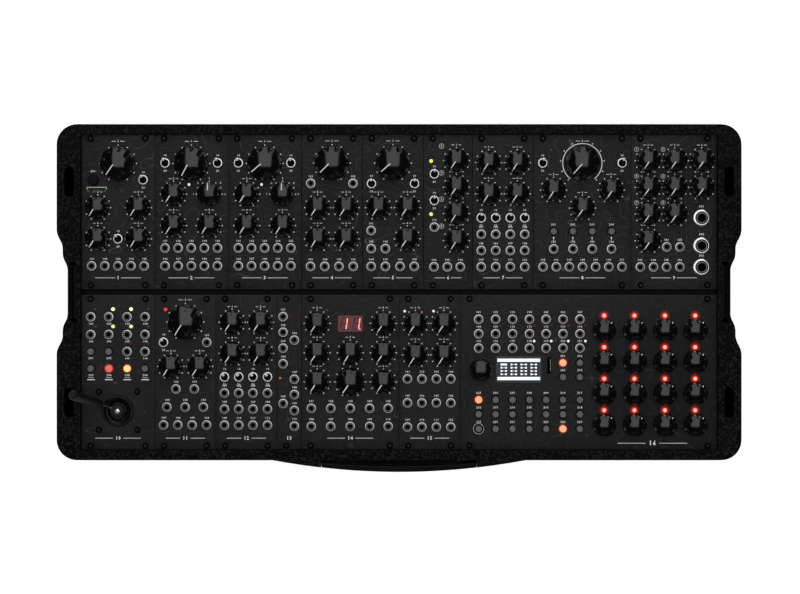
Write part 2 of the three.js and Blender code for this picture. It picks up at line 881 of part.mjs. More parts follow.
function joystick() {
  const gimbalGroup = new THREE.Group();
  gimbalGroup.position.z = -pivotDepth;
  gimbalGroup.rotation.x = leverTiltX;
  const leverGroup = new THREE.Group();
  leverGroup.rotation.y = leverTiltY;
  leverGroup.add(joystickLever());
  gimbalGroup.add(joystickGimbal(), leverGroup);
  return gimbalGroup;
}

// Modules and their rows

// One module: its panel, the board behind it, and all that is fixed to them
function moduleGroup(layout) {
  const width = layout.units * unitWidth - panelGap;
  const depth = layout.deepBoard ? deepBoardDepth : boardDepth;
  const boardTop = -panelThickness - depth;
  const spot = ([xShare, yShare]) => [xShare * width, yShare * panelHeight];
  const spots = (shares = []) => shares.map(spot);

  const solids = [
    block(width, panelHeight, -panelThickness, 0),
    block(width - 2 * boardMargin, boardHeight, boardTop - boardThickness, boardTop),
  ];
  const cutters = [];
  for (const y of [-1, 1]) {
    solids.push(block(spacerWidth, spacerWidth, boardTop - sink, -panelThickness + sink,
      0, y * (boardHeight / 2 - spacerInset)));
  }
  const screwXs = layout.screwColumns === 1 ? [-1] : [-1, 1];
  for (const x of screwXs) {
    for (const y of [-1, 1]) {
      solids.push(screwHead(x * (width / 2 - screwInset), y * (panelHeight / 2 - screwEdge)));
    }
  }
  for (const [x, y] of spots(layout.jackShares)) {
    solids.push(jackNut(x, y));
    cutters.push(jackHole(x, y));
  }
  for (const [x, y] of spots(layout.largeJackShares)) {
    solids.push(...largeJack(x, y));
    cutters.push(prism(largeJackBore, -largeJackDepth, largeJackHeight + overrun,
      smallSides, x, y));
  }
  for (const [x, y] of spots(layout.wideButtonShares)) {
    solids.push(fixedButton(wideButtonDiameter, wideButtonHeight, x, y));
  }
  for (const { width: across, height, xShare, yShare } of layout.displays ?? []) {
    const [x, y] = spot([xShare, yShare]);
    cutters.push(block(across, height, -displayRecess, overrun, x, y));
  }

  const group = new THREE.Group();
  const turners = [
    ['large_knob', largeKnob, 2 * largeKnob.flutes, layout.largeKnobShares],
    ['medium_knob', mediumKnob, 2 * mediumKnob.flutes, layout.mediumKnobShares],
    ['data_knob', dataKnob, 2 * dataKnob.flutes, layout.dataKnobShares],
    ['step_knob', stepKnob, 2 * stepKnob.flutes, layout.stepKnobShares],
  ];
  if (layout.turning) {
    turners.push(['small_knob', smallKnob, 2 * smallKnob.flutes, layout.smallKnobShares]);
  } else {
    for (const [x, y] of spots(layout.smallKnobShares)) solids.push(fixedKnob(smallKnob, x, y));
  }
  for (const [kind, knob, sides, shares] of turners) {
    spots(shares).forEach(([x, y], index, all) => {
      solids.push(knobShaft(x, y));
      const number = all.length > 1 ? `_${index + 1}` : '';
      const turned = turningKnob(`${layout.name}_${kind}${number}`, knob, sides);
      turned.position.x = x;
      turned.position.y = y;
      group.add(turned);
    });
  }

  spots(layout.toggleShares).forEach(([x, y], index) => {
    if (!layout.turning) {
      solids.push(...fixedToggle(x, y));
      return;
    }
    solids.push(...toggleBush(x, y));
    cutters.push(prism(toggleBushBore, 0, toggleBushHeight + overrun, smallSides, x, y));
    const lever = turningToggle(`${layout.name}_toggle_${index + 1}`);
    lever.position.x = x;
    lever.position.y = y;
    group.add(lever);
  });

  spots(layout.buttonShares).forEach(([x, y], index) => {
    if (!layout.turning) {
      solids.push(fixedButton(buttonDiameter, buttonHeight, x, y));
      return;
    }
    cutters.push(prism(clearBore(buttonDiameter, smallSides), -panelThickness - overrun, overrun,
      smallSides, x, y));
    const button = slidingButton(`${layout.name}_button_${index + 1}`);
    button.position.x = x;
    button.position.y = y;
    group.add(button);
  });

  for (const [x, y] of spots(layout.joystickShares)) {
    const hole = clearBore(2 * domeRadius, roundSides);
    solids.push(prism(bezelDiameter, -sink, bezelHeight, roundSides, x, y));
    cutters.push(prism(hole, -panelThickness - overrun, bezelHeight + overrun, roundSides, x, y));
    const pinBore = clearBore(crossPinDiameter, smallSides, crossPinGap);
    const reach = bracketInner + bracketThickness + overrun;
    cutters.push(pinAlongX(pinBore, x - reach, x + reach, y, -pivotDepth));
    for (const side of [-1, 1]) solids.push(joystickBracket(side, boardTop).translate(x, y, 0));
    const stick = joystick();
    stick.position.x = x;
    stick.position.y = y;
    group.add(stick);
  }

  group.add(node(`${layout.name}_module`, solids, cutters, materials.panel));
  return group;
}

function moduleRow(layouts, y) {
  const row = new THREE.Group();
  row.position.set(0, y, panelTop);
  let left = -rackWidth / 2;
  for (const layout of layouts) {
    const width = layout.units * unitWidth;
    const placed = moduleGroup(layout);
    placed.position.x = left + width / 2;
    row.add(placed);
    left += width;
  }
  return row;
}

// The whole synthesizer, moved so that its origin is at the middle of its underside
const group = new THREE.Group();
const machine = new THREE.Group();
machine.position.y = -(caseFront - bulgeRise + caseRear) / 2;
machine.add(
  caseShell(),
  handleBail(),
  nutPlate('nut_plate_left', -1),
  nutPlate('nut_plate_right', 1),
  ...Object.entries(railPlaces()).map(([name, place]) => rail(name, place)),
  busBoard(),
  moduleRow(rearRow, rowPitch / 2),
  moduleRow(frontRow, -rowPitch / 2),
);
group.add(machine);

export default group;
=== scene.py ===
# %% [markdown]
# # A modular synthesizer in a travel case
#
# This lesson dresses a measured CAD model of a synthesizer: sixteen modules in two rows, in a flat
# moulded case. The CAD model gives every size. Blender adds what the eye needs: rounded edges,
# printed marks, lights, and materials with the detail of the real ones.
#
# Every cell makes one piece or one finish. Sizes are in millimetres and become metres where they
# are used, because Blender's own unit is the metre.

# %% Load the frame that every piece is fitted to
import math

import bmesh
import bpy
from mathutils import Matrix, Vector


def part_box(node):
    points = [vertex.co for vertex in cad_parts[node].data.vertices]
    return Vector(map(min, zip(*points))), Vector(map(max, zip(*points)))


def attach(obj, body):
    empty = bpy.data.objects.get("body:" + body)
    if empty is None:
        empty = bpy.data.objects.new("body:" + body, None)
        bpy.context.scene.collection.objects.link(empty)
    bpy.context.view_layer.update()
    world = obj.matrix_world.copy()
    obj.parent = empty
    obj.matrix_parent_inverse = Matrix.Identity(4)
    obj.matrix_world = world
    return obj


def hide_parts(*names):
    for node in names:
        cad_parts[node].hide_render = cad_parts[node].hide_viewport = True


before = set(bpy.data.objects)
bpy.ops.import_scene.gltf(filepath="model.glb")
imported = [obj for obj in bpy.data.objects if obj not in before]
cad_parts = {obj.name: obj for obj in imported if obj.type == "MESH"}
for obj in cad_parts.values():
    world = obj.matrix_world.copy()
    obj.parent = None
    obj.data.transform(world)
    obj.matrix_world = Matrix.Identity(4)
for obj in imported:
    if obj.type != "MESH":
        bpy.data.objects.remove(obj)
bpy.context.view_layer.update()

bpy.ops.object.select_all(action="DESELECT")
MM = 0.001

# %% [markdown]
# ## Helpers for picking, painting, copying and joining
#
# Edit mode works on what is selected. With a mouse one clicks a face; in a script a face is picked
# by a test on its place. `stack` draws round things the way a potter does: it lifts a ring step by
# step and makes it wider or narrower. What repeats is modelled once as a master, and `copy_at`
# gives each copy a mesh of its own, so that copies can be joined into one piece.

# %% Short names for what edit mode needs again and again
def apply_placement():
    """Make the active object's place, turn and scale part of its mesh."""
    bpy.ops.object.transform_apply(location=True, rotation=True, scale=True)


def extrude_by(x, y, z):
    """Extrude what is selected by this many millimetres."""
    bpy.ops.mesh.extrude_region_move(TRANSFORM_OT_translate={"value": (x * MM, y * MM, z * MM)})


def leave_edit():
    """Turn all faces outwards and leave edit mode."""
    bpy.ops.mesh.select_all(action="SELECT")
    bpy.ops.mesh.normals_make_consistent(inside=False)
    bpy.ops.object.mode_set(mode="OBJECT")
    return bpy.context.object


def activate(piece):
    """Select this piece alone."""
    bpy.ops.object.select_all(action="DESELECT")
    piece.select_set(True)
    bpy.context.view_layer.objects.active = piece


# %% Pick parts of a mesh, and stack rings
def pick(kind, test):
    """In edit mode, select only the vertices, edges or faces whose middle passes the test."""
    bpy.ops.mesh.select_mode(type=kind)
    bpy.ops.mesh.select_all(action="DESELECT")
    mesh = bmesh.from_edit_mesh(bpy.context.object.data)
    middles = {
        "VERT": lambda part: part.co,
        "EDGE": lambda part: (part.verts[0].co + part.verts[1].co) / 2,
        "FACE": lambda part: part.calc_center_median(),
    }
    parts = {"VERT": mesh.verts, "EDGE": mesh.edges, "FACE": mesh.faces}[kind]
    for part in parts:
        if test(middles[kind](part)):
            part.select_set(True)
    mesh.select_flush_mode()
    bmesh.update_edit_mesh(bpy.context.object.data)


def stack(profile, sides, centre=(0.0, 0.0)):
    """Start a closed round piece: the profile lists radius and height in millimetres."""
    radius, height = profile[0]
    x, y = centre
    bpy.ops.mesh.primitive_circle_add(vertices=sides, radius=radius * MM, fill_type="NGON",
                                      location=(x * MM, y * MM, height * MM))
    apply_placement()
    bpy.ops.object.mode_set(mode="EDIT")
    for (r0, z0), (r1, z1) in zip(profile, profile[1:]):
        extrude_by(0, 0, z1 - z0)
        bpy.ops.transform.resize(value=(r1 / r0, r1 / r0, 1),
                                 center_override=(x * MM, y * MM, z1 * MM))
    return leave_edit()


def hoop(profile, sides, centre=(0.0, 0.0)):
    """A closed ring: a stack whose two end faces give way to a bridge between them."""
    piece = stack(profile, sides, centre)
    bpy.ops.object.mode_set(mode="EDIT")
    middle = Vector(centre) * MM
    pick("FACE", lambda p: (p.xy - middle).length < 0.2 * MM)
    bpy.ops.mesh.delete(type="FACE")
    bpy.ops.mesh.select_mode(type="EDGE")
    bpy.ops.mesh.select_all(action="DESELECT")
    bpy.ops.mesh.select_non_manifold()
    bpy.ops.mesh.bridge_edge_loops()
    leave_edit()
    return piece


def slab(width, depth, bottom, top, x=0.0, y=0.0):
    """Start a flat block from a plane that is extruded up."""
    bpy.ops.mesh.primitive_plane_add(size=1, location=(x * MM, y * MM, bottom * MM))
    bpy.context.object.scale = (width * MM, depth * MM, 1)
    apply_placement()
    bpy.ops.object.mode_set(mode="EDIT")
    extrude_by(0, 0, top - bottom)
    return leave_edit()


# %% Modifiers, materials on faces, copies and joins
def modify(piece, kind, **settings):
    """Add a modifier with its settings and apply it."""
    activate(piece)
    modifier = piece.modifiers.new(kind.title(), kind)
    for name, value in settings.items():
        setattr(modifier, name, value)
    bpy.ops.object.modifier_apply(modifier=modifier.name)


def soften(piece, width, segments=2, angle=40):
    """Round the sharp edges of a piece, as every real edge is."""
    modify(piece, "BEVEL", width=width * MM, segments=segments, limit_method="ANGLE",
           angle_limit=math.radians(angle), harden_normals=False)


def cut(piece, cutter, overlapping=False):
    """Take a cutter out of a piece and throw the cutter away."""
    modify(piece, "BOOLEAN", operation="DIFFERENCE", object=cutter, solver="EXACT",
           use_self=overlapping)
    bpy.data.objects.remove(cutter)


def off_axis(point):
    """How far a point lies from the Z axis, in millimetres."""
    return math.hypot(point.x, point.y) / MM


def paint(piece, material, test=None):
    """Put a material on all faces, or on those whose middle passes the test."""
    mesh = piece.data
    if material.name not in mesh.materials:
        mesh.materials.append(material)
    index = mesh.materials.find(material.name)
    for face in mesh.polygons:
        if test is None or test(face.center):
            face.material_index = index


def smooth(piece, angle=35):
    """Shade gentle edges smooth and keep sharp ones sharp."""
    activate(piece)
    bpy.ops.object.shade_smooth_by_angle(angle=math.radians(angle))


def store(master, name):
    """Keep a finished master out of the scene, ready to be copied."""
    master.name = name
    for collection in list(master.users_collection):
        collection.objects.unlink(master)
    return master


def copy_at(master, x, y, z, turn=0.0):
    """A copy of a master with its own mesh, at a place in millimetres, turned about Z."""
    twin = master.copy()
    twin.data = master.data.copy()
    bpy.context.collection.objects.link(twin)
    twin.matrix_world = (Matrix.Translation(Vector((x, y, z)) * MM)
                         @ Matrix.Rotation(math.radians(turn), 4, "Z"))
    return twin


def join(objects, name):
    """Join objects into one mesh whose origin is the world's."""
    bpy.ops.object.select_all(action="DESELECT")
    for one in objects:
        one.select_set(True)
    bpy.context.view_layer.objects.active = objects[0]
    if len(objects) > 1:
        bpy.ops.object.join()
    apply_placement()
    joined = bpy.context.object
    joined.name = name
    joined.data.name = name
    return joined


def settle(piece, body="root", nodes=()):
    """Hang a finished piece on its body, and say which CAD nodes it stands for."""
    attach(piece, body)
    if nodes:
        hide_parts(*nodes)
    return piece


# %% [markdown]
# ## Camera, floor and light
#
# The photograph looks straight down from about a metre and a half. The floor is white and curves up
# far away, like a photographer's paper roll, so that no edge shows. Black glossy things show what
# they reflect: here one soft lamp towards the rear row draws a grey patch on every knob, and a
# second lamp lights matt surfaces without showing in them.

# %% Values of the machine that all pieces share
RACK_WIDTH = 528.32
PANEL_HEIGHT = 128.5
PANEL_THICKNESS = 2.0
PANEL_GAP = 0.4
FIT_GAP = 0.3
case_low, case_high = (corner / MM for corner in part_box("case_shell"))
PANEL_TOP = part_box("rail_rear")[1].z / MM + FIT_GAP + PANEL_THICKNESS
print("case:", [round(v, 2) for v in case_high - case_low], "panel top:", round(PANEL_TOP, 2))

# %% Camera straight above the panels
CAMERA_HEIGHT = 1500.0
VIEW_WIDTH = 665.3
SENSOR = 36.0
AIM = (0.75, 0.9)
bpy.ops.object.camera_add(
    location=(AIM[0] * MM, AIM[1] * MM, (PANEL_TOP + CAMERA_HEIGHT) * MM), rotation=(0, 0, 0))
camera = bpy.context.object
camera.name = "photo_camera"
camera.data.sensor_width = SENSOR
camera.data.lens = SENSOR * CAMERA_HEIGHT / VIEW_WIDTH
bpy.context.scene.camera = camera
print("lens:", round(camera.data.lens, 1), "mm")


# %% One function for colours and one for nodes
def linear(hex_colour):
    """A colour written as on the web, turned to the linear values that light adds up in."""
    channels = [int(hex_colour[i:i + 2], 16) / 255 for i in (1, 3, 5)]
    curve = [c / 12.92 if c <= 0.04045 else ((c + 0.055) / 1.055) ** 2.4 for c in channels]
    return (*curve, 1.0)


def add_node(tree, kind, inputs=None, **settings):
    """Add a node, set its properties, and fill its sockets with values or links."""
    node = tree.nodes.new(kind)
    for name, value in settings.items():
        setattr(node, name, value)
    for socket, value in (inputs or {}).items():
        if isinstance(value, bpy.types.NodeSocket):
            tree.links.new(value, node.inputs[socket])
        else:
            node.inputs[socket].default_value = value
    return node


def new_material(name, colour, roughness, metallic=0.0, **more):
    """A material whose main shader has its plain values, and the shader to link more into."""
    material = bpy.data.materials.new(name)
    material.use_nodes = True
    shader = material.node_tree.nodes["Principled BSDF"]
    shader.inputs["Base Color"].default_value = linear(colour)
    shader.inputs["Roughness"].default_value = roughness
    shader.inputs["Metallic"].default_value = metallic
    for socket, value in more.items():
        shader.inputs[socket.replace("_", " ")].default_value = value
    return material, material.node_tree, shader


# %% Floor that curves up into a wall
FLOOR_PROFILE = [(5000.0, 0.0), (5700.0, 120.0), (6200.0, 500.0), (6450.0, 1100.0),
                 (6500.0, 4000.0)]
FLOOR_SIDES = 96
PAPER_GLOW = 0.62
bpy.ops.mesh.primitive_circle_add(vertices=FLOOR_SIDES, radius=FLOOR_PROFILE[0][0] * MM,
                                  fill_type="NGON")
floor = bpy.context.object
bpy.ops.object.mode_set(mode="EDIT")
pick("EDGE", lambda middle: True)
for (r0, z0), (r1, z1) in zip(FLOOR_PROFILE, FLOOR_PROFILE[1:]):
    bpy.ops.mesh.extrude_edges_move(TRANSFORM_OT_translate={"value": (0, 0, (z1 - z0) * MM)})
    bpy.ops.transform.resize(value=(r1 / r0, r1 / r0, 1))
bpy.ops.object.mode_set(mode="OBJECT")
floor.name = "paper_floor"
smooth(floor, 60)

paper, tree, shader = new_material("white_paper", "#F4F4F4", 0.9)
rays = add_node(tree, "ShaderNodeLightPath")
camera_or_gloss = add_node(tree, "ShaderNodeMath", {0: rays.outputs["Is Camera Ray"],
                           1: rays.outputs["Is Glossy Ray"]}, operation="MAXIMUM")
seen = add_node(tree, "ShaderNodeMath", {0: camera_or_gloss.outputs[0],
                1: rays.outputs["Is Transmission Ray"]}, operation="MAXIMUM")
glow = add_node(tree, "ShaderNodeMath", {0: seen.outputs[0], 1: PAPER_GLOW},
                operation="MULTIPLY")
shader.inputs["Emission Color"].default_value = linear("#FFFFFF")
tree.links.new(glow.outputs[0], shader.inputs["Emission Strength"])
floor.data.materials.append(paper)

# %% Lamps and the dim room around them: places and sizes in metres, power in watts
ROOM_LIGHT = 0.03
LAMP_AIM = (0.0, 0.0, 0.05)
LAMPS = {
    "softbox": {"place": (0.0, 2.15, 6.3), "size": (4.3, 6.9), "power": 95.0, "in_gloss": True},
    "front_strip": {"place": (0.3, -2.1, 3.0), "size": (1.5, 0.6), "power": 0.4,
                    "in_gloss": True},
    "fill": {"place": (0.0, -0.3, 3.6), "size": (3.2, 3.2), "power": 80.0, "in_gloss": False},
}
world = bpy.data.worlds.new("studio")
bpy.context.scene.world = world
world.use_nodes = True
world.node_tree.nodes["Background"].inputs["Color"].default_value = linear("#FFFFFF")
world.node_tree.nodes["Background"].inputs["Strength"].default_value = ROOM_LIGHT
for name, values in LAMPS.items():
    turn = (Vector(LAMP_AIM) - Vector(values["place"])).to_track_quat("-Z", "Y").to_euler()
    bpy.ops.object.light_add(type="AREA", location=values["place"], rotation=turn)
    lamp = bpy.context.object
    lamp.name = name
    lamp.data.shape = "RECTANGLE"
    lamp.data.size, lamp.data.size_y = values["size"]
    lamp.data.energy = values["power"]
    lamp.visible_glossy = values["in_gloss"]
bpy.context.scene.view_settings.view_transform = "Standard"

# %% [markdown]
# ## Finishes
#
# Nearly everything here is black, so the finishes differ by gloss and grain: pebbled ABS on the
# case, a satin powder coat on the panels, polished phenolic on the knobs. Bright nickel rings and
# white print stand out from them. Each pattern's scale comes from a real size: noise with scale S
# has features of about one metre divided by S.

# %% What the patterns are made of
def noise(tree, size, detail=3.0, **more):
    """Cloudy noise whose features are about this many millimetres wide."""
    place = add_node(tree, "ShaderNodeTexCoord")
    node = add_node(tree, "ShaderNodeTexNoise", {"Vector": place.outputs["Object"],
                    "Scale": 1 / (size * MM), "Detail": detail, **more})
    return node.outputs["Fac"]


def remap(tree, value, low, high, start=0.0, end=1.0):
    """Stretch a value from start..end to low..high."""
    node = add_node(tree, "ShaderNodeMapRange", {"Value": value, "From Min": start,
                    "From Max": end, "To Min": low, "To Max": high})
    return node.outputs["Result"]


def calculate(tree, operation, first, second):
    """One step of arithmetic on two values."""
    return add_node(tree, "ShaderNodeMath", {0: first, 1: second}, operation=operation).outputs[0]


def blend(tree, factor, dark, light):
    """A mix of two colours, each written as on the web or taken from a node."""
    ends = [linear(end) if isinstance(end, str) else end for end in (dark, light)]
    node = add_node(tree, "ShaderNodeMix", {"Factor": factor, "A": ends[0], "B": ends[1]},
                    data_type="RGBA")
    return node.outputs["Result"]


def dress(tree, shader, colour, gloss, height=None, strength=0.4, depth=0.0, **more):
    """Link the patterns to the shader: colour, gloss, and a relief this many millimetres deep."""
    tree.links.new(colour, shader.inputs["Base Color"])
    tree.links.new(gloss, shader.inputs["Roughness"])
    if depth:
        bumps = add_node(tree, "ShaderNodeBump", {"Height": height, "Strength": strength,
                         "Distance": depth * MM}, **more)
        tree.links.new(bumps.outputs["Normal"], shader.inputs["Normal"])


def grained(name, dark, light, low, high, size, metallic=0.0, detail=3.0, span=(0.0, 1.0),
            strength=0.4, depth=0.0, **more):
    """A finish whose colour and gloss vary with a fine grain, its size in millimetres."""
    material, tree, shader = new_material(name, light, low, metallic, **more)
    grain = noise(tree, size, detail)
    dress(tree, shader, blend(tree, grain, dark, light), remap(tree, grain, low, high, *span),
          grain, strength, depth)
    return material


# %% Moulded ABS of the case: leather grain of dark pebbles with lighter creases between them
PEBBLE = 1.7
PEBBLE_DEPTH = 0.12
FINE_GRAIN = 0.5
case_plastic, tree, shader = new_material("pebbled_abs", "#08080A", 0.62, Specular_IOR_Level=0.09)
place = add_node(tree, "ShaderNodeTexCoord")
pebbles = add_node(tree, "ShaderNodeTexVoronoi", {"Vector": place.outputs["Object"],
                   "Scale": 1 / (PEBBLE * MM), "Smoothness": 0.6}, feature="SMOOTH_F1")
creases = remap(tree, pebbles.outputs["Distance"], 0.0, 1.0, 0.46, 0.72)
dress(tree, shader, blend(tree, creases, "#010102", "#1C1C1D"), remap(tree, creases, 0.5, 0.75),
      calculate(tree, "ADD", creases, noise(tree, FINE_GRAIN, 2.0)), 0.8, PEBBLE_DEPTH,
      invert=True)

# %% Satin powder coat on the aluminium panels, with thin printed contour lines like a map's
CONTOUR_WIDTH = 26.0
CONTOUR_LEVELS = 11.0
LINE_SHARE = 0.028
SPECKLE = 0.35
SPECKLE_DEPTH = 0.03
panel_coat, tree, shader = new_material("black_powder_coat", "#131415", 0.5,
                                        Specular_IOR_Level=0.3)
speckle = noise(tree, SPECKLE, 2.0)
levels = calculate(tree, "MULTIPLY", noise(tree, CONTOUR_WIDTH, 0.6, Roughness=0.4),
                   CONTOUR_LEVELS)
lines = remap(tree, calculate(tree, "PINGPONG", levels, 0.5), 1.0, 0.0, 0.0, LINE_SHARE)
place = add_node(tree, "ShaderNodeTexCoord")
axes = add_node(tree, "ShaderNodeSeparateXYZ", {0: place.outputs["Object"]})
fading = remap(tree, axes.outputs["Y"], 0.55, 1.0, 0.0, 0.03)
inked = blend(tree, calculate(tree, "MULTIPLY", lines, fading),
              blend(tree, speckle, "#101112", "#18191A"), "#4A4B4C")
dress(tree, shader, inked, remap(tree, speckle, 0.46, 0.6), speckle, 0.2, SPECKLE_DEPTH)

# %% The simpler finishes: colours and gloss from dark to light, then the grain's size
# Painted highlight: a lighter satin for the panels' bevelled edges, so that they show as bright
# lines.
edge_highlight_coat = grained("panel_edge_coat", "#202122", "#2C2D2E", 0.3, 0.42, 0.5)
# White print for dots, numbers and pointers. The same white also makes the step knobs' rim strip,
# which is a painted highlight.
print_and_glint_white = grained("white_screen_print_and_painted_glint", "#CFCFCD", "#F2F2F0", 0.55, 0.55, 0.4)
phenolic = grained("polished_phenolic", "#010101", "#030304", 0.09, 0.15, 3.0, detail=4.0,
                   span=(0.3, 0.7), IOR=1.63)
handle_plastic = grained("handle_polypropylene", "#060607", "#060607", 0.38, 0.55, 0.7,
                         strength=0.25, depth=0.05, Specular_IOR_Level=0.12)
socket_plastic = grained("socket_nylon", "#060606", "#0A0A0A", 0.4, 0.6, 0.8)
rubber = grained("moulded_rubber", "#0A0A0A", "#101011", 0.55, 0.75, 0.5, depth=0.04)
grip_plastic = grained("soft_touch_grip", "#050506", "#08080A", 0.42, 0.55, 0.5, depth=0.03,
                       Specular_IOR_Level=0.16)
gloss_black = grained("gloss_black_acetal", "#030303", "#050506", 0.16, 0.24, 1.0,
                      Specular_IOR_Level=0.2)
button_plastic = grained("translucent_button", "#545454", "#5E5E5E", 0.4, 0.5, 1.0)
anodised = grained("black_anodised", "#050506", "#0A0A0B", 0.5, 0.65, 1.5,
                   Specular_IOR_Level=0.15)
# Painted shade: a near-black finish with almost no gloss, put on bores, grooves, gaps and the card
# slot's throat to stand for the shade inside them.
shade_black = grained("painted_shade_black", "#010101", "#020202", 0.5, 0.7, 1.0,
                     Specular_IOR_Level=0.05)
glass = grained("display_glass", "#0A0B0E", "#101216", 0.06, 0.1, 4.0)

# %% Plated and bare metals: the plating's grain changes the gloss, never the shape
METAL = 1.0
nickel = grained("nickel_plate", "#B4B3B0", "#CECDCA", 0.16, 0.26, 0.5, METAL)
polished = grained("polished_steel", "#F0EFEC", "#F8F7F5", 0.1, 0.16, 0.8, METAL)
# Painted highlight: a lighter metal for the floor of the screw's socket, so that a light spot shows
# in the dark head.
socket_highlight_steel = grained("screw_socket_painted_highlight", "#323233", "#555556", 0.4, 0.6, 0.5, METAL)
# Painted highlight: a brighter nickel for the top faces of the jack's ring nut, so that they shine
# more than its sides.
highlight_nickel = grained("satin_nickel_ring", "#EAE9E6", "#F6F5F2", 0.3, 0.42, 0.8, METAL)
dull_steel = grained("dull_nickel_steel", "#8E8D8A", "#B4B2AE", 0.3, 0.5, 0.8, METAL)
black_oxide = grained("black_oxide_screw", "#0C0C0D", "#171718", 0.3, 0.45, 0.5, METAL)
aluminium = grained("extruded_aluminium", "#A9ABAD", "#C6C8CA", 0.3, 0.45, 1.5, METAL)

# %% Circuit board: green solder mask with copper tracks showing through
BRICK_WIDTH = 9.6
circuit, tree, shader = new_material("solder_mask", "#12402A", 0.35)
place = add_node(tree, "ShaderNodeTexCoord")
tracks = add_node(tree, "ShaderNodeTexBrick", {"Vector": place.outputs["Object"],
                  "Scale": 1 / (BRICK_WIDTH * MM), "Color1": linear("#1A5636"),
                  "Color2": linear("#15472D"), "Mortar": linear("#0D3320"),
                  "Mortar Size": 0.06})
tree.links.new(tracks.outputs["Color"], shader.inputs["Base Color"])


# %% Lights: epoxy lenses that glow, the same lenses unlit, and glows painted on things that are no lamps
HAZE = 0.8


def lens(name, body, glow, strength, roughness=0.18):
    """A coloured epoxy lens whose glow is a little uneven."""
    material, tree, shader = new_material(name, body, roughness)
    shader.inputs["Emission Color"].default_value = linear(glow)
    if strength:
        power = remap(tree, noise(tree, HAZE, 2.0), strength * 0.85, strength * 1.15)
        tree.links.new(power, shader.inputs["Emission Strength"])
    return material


LENSES = {
    "green": lens("lens_green", "#16301A", "#2E7A34", 0.35),
    "lime": lens("lens_lime", "#4A4D2A", "#F2FFB0", 1.3),
    "yellow": lens("lens_yellow", "#4A3D14", "#FFF08A", 1.05),
    "gold": lens("lens_gold", "#5A5020", "#FFF26A", 1.1),
    "amber": lens("lens_amber", "#3A2C10", "#E0A040", 0.35),
    "red": lens("lens_red", "#3A0E0C", "#FF4A34", 0.75),
    "hot": lens("lens_hot", "#6A2A20", "#FFBEA4", 1.3),
    "white": lens("lens_white", "#5A5A56", "#F4F4EA", 0.9),
    "dim_red": lens("lens_red_unlit", "#30100F", "#FF2030", 0.03),
    "dim": lens("lens_clear_unlit", "#3C3838", "#FFFFFF", 0.02),
}
HALO_SHARES = (1.0, 0.5, 0.26, 0.12, 0.045)
# Painted light: red glows for the rings on the panel round each step light, dimmer outwards; the
# strongest also covers the lens's own edge.
lens_and_painted_halos = [lens(f"red_glow_{step}", "#0E0E0F", "#FF2C20", share, 0.55)
         for step, share in enumerate(HALO_SHARES)]
lit_orange = lens("button_lit_orange", "#6A3A1E", "#FFB080", 1.0)
lit_amber = lens("button_lit_amber", "#6A4A1E", "#FFDE85", 0.95)
lit_red = lens("button_lit_red", "#5A201A", "#F06A60", 0.8)
# Painted light: a red glow for the ring round a lit button; the ring is no lamp.
painted_collar_glow = lens("painted_collar_glow", "#3A0A06", "#E02A14", 0.5)
# Painted light: the number display's glass glows faintly red, as if lit by its segments.
red_glass_painted_glow = lens("display_red_glass", "#2E1619", "#FF5A60", 0.055)
dot_glow = lens("display_pale_dots", "#9A9EA4", "#F2F6FF", 0.85)
segment_glow = lens("display_red_segments", "#6A1410", "#FF8478", 2.2)
segment_dark = lens("display_unlit_segments", "#2A1012", "#FF2020", 0.02)

# %% [markdown]
# ## The moulded case
#
# The real case is one moulding with rounded corners and a stepped waist in each side. From a
# plain plane, `bisect` adds cross lines where the outline bends, the vertices between them are
# moved to the waist's depths, and a vertex bevel turns the corners into the soft curves of a
# moulding. The outline is then extruded, and the hollow and the slots are cut with Booleans.

# %% Sizes of the case, in millimetres
SIDE_RIM = 20.4
REAR_RIM = 8.6
FRONT_RIM = 8.9
ROW_GAP = 4.85
CORNER_RADIUS = 17.0
WALL = 3.0
FLOOR_THICKNESS = 4.0
FOOT_HEIGHT = 2.0
FOOT_DIAMETER = 20.0
FOOT_INSET = 22.0
DRAFT = 0.005
WAIST = {"inset": 9.2, "ledge": 5.0, "half": 21.0, "ledge_inner": 29.0, "ledge_outer": 39.0,
         "outer": 48.5}
SLOT = {"width": 8.0, "length": 25.0, "inset": 10.6, "spacing": 183.4}
PLATE_SLOT = {"width": 5.82, "length": 50.0, "wall": 1.6}
BULGE_WIDTH = 210.0
BULGE_RISE = 9.8
HANDLE = {"width": 129.0, "drop": 1.4, "bar": 10.0, "post": 13.0, "sag": 3.0, "gap": 1.3,
          "window_corner": 5.0, "pin": 3.6, "pin_drop": 2.7, "pin_length": 5.0, "pin_sink": 1.5}
NOTCH_FLOOR = 14.0
THUMBSCREW = {"spacing": 26.0, "hole": 5.5, "reach": 6.0}
RIM_LAP = 0.8
OVERRUN = 2.0
case_top = case_high.z
half_width = RACK_WIDTH / 2 + SIDE_RIM
rows_half = (2 * PANEL_HEIGHT + ROW_GAP) / 2
middle_y = case_high.y - rows_half - REAR_RIM
front = middle_y - rows_half - FRONT_RIM
rear = case_high.y
rim_underside = PANEL_TOP - PANEL_THICKNESS - FIT_GAP + RIM_LAP
print("case front and rear:", round(front, 2), round(rear, 2))


def arc_radius(chord, rise):
    """Radius of the circle whose arc has this chord and this rise."""
    return chord * chord / (8 * rise) + rise / 2


def arc_dip(radius, across):
    """How far an arc has fallen away at this distance from its middle."""
    return radius - math.sqrt(radius * radius - across * across)


bulge_radius = arc_radius(BULGE_WIDTH, BULGE_RISE)


# %% The outline as a block: plane, cross lines, moved corners, bevelled corners, extrusion
def bisect_at(level, axis):
    """Cut a line across everything at this level of X or Y."""
    normal = (1, 0, 0) if axis == "X" else (0, 1, 0)
    point = tuple(level * MM * n for n in normal)
    bpy.ops.mesh.select_all(action="SELECT")
    bpy.ops.mesh.bisect(plane_co=point, plane_no=normal)


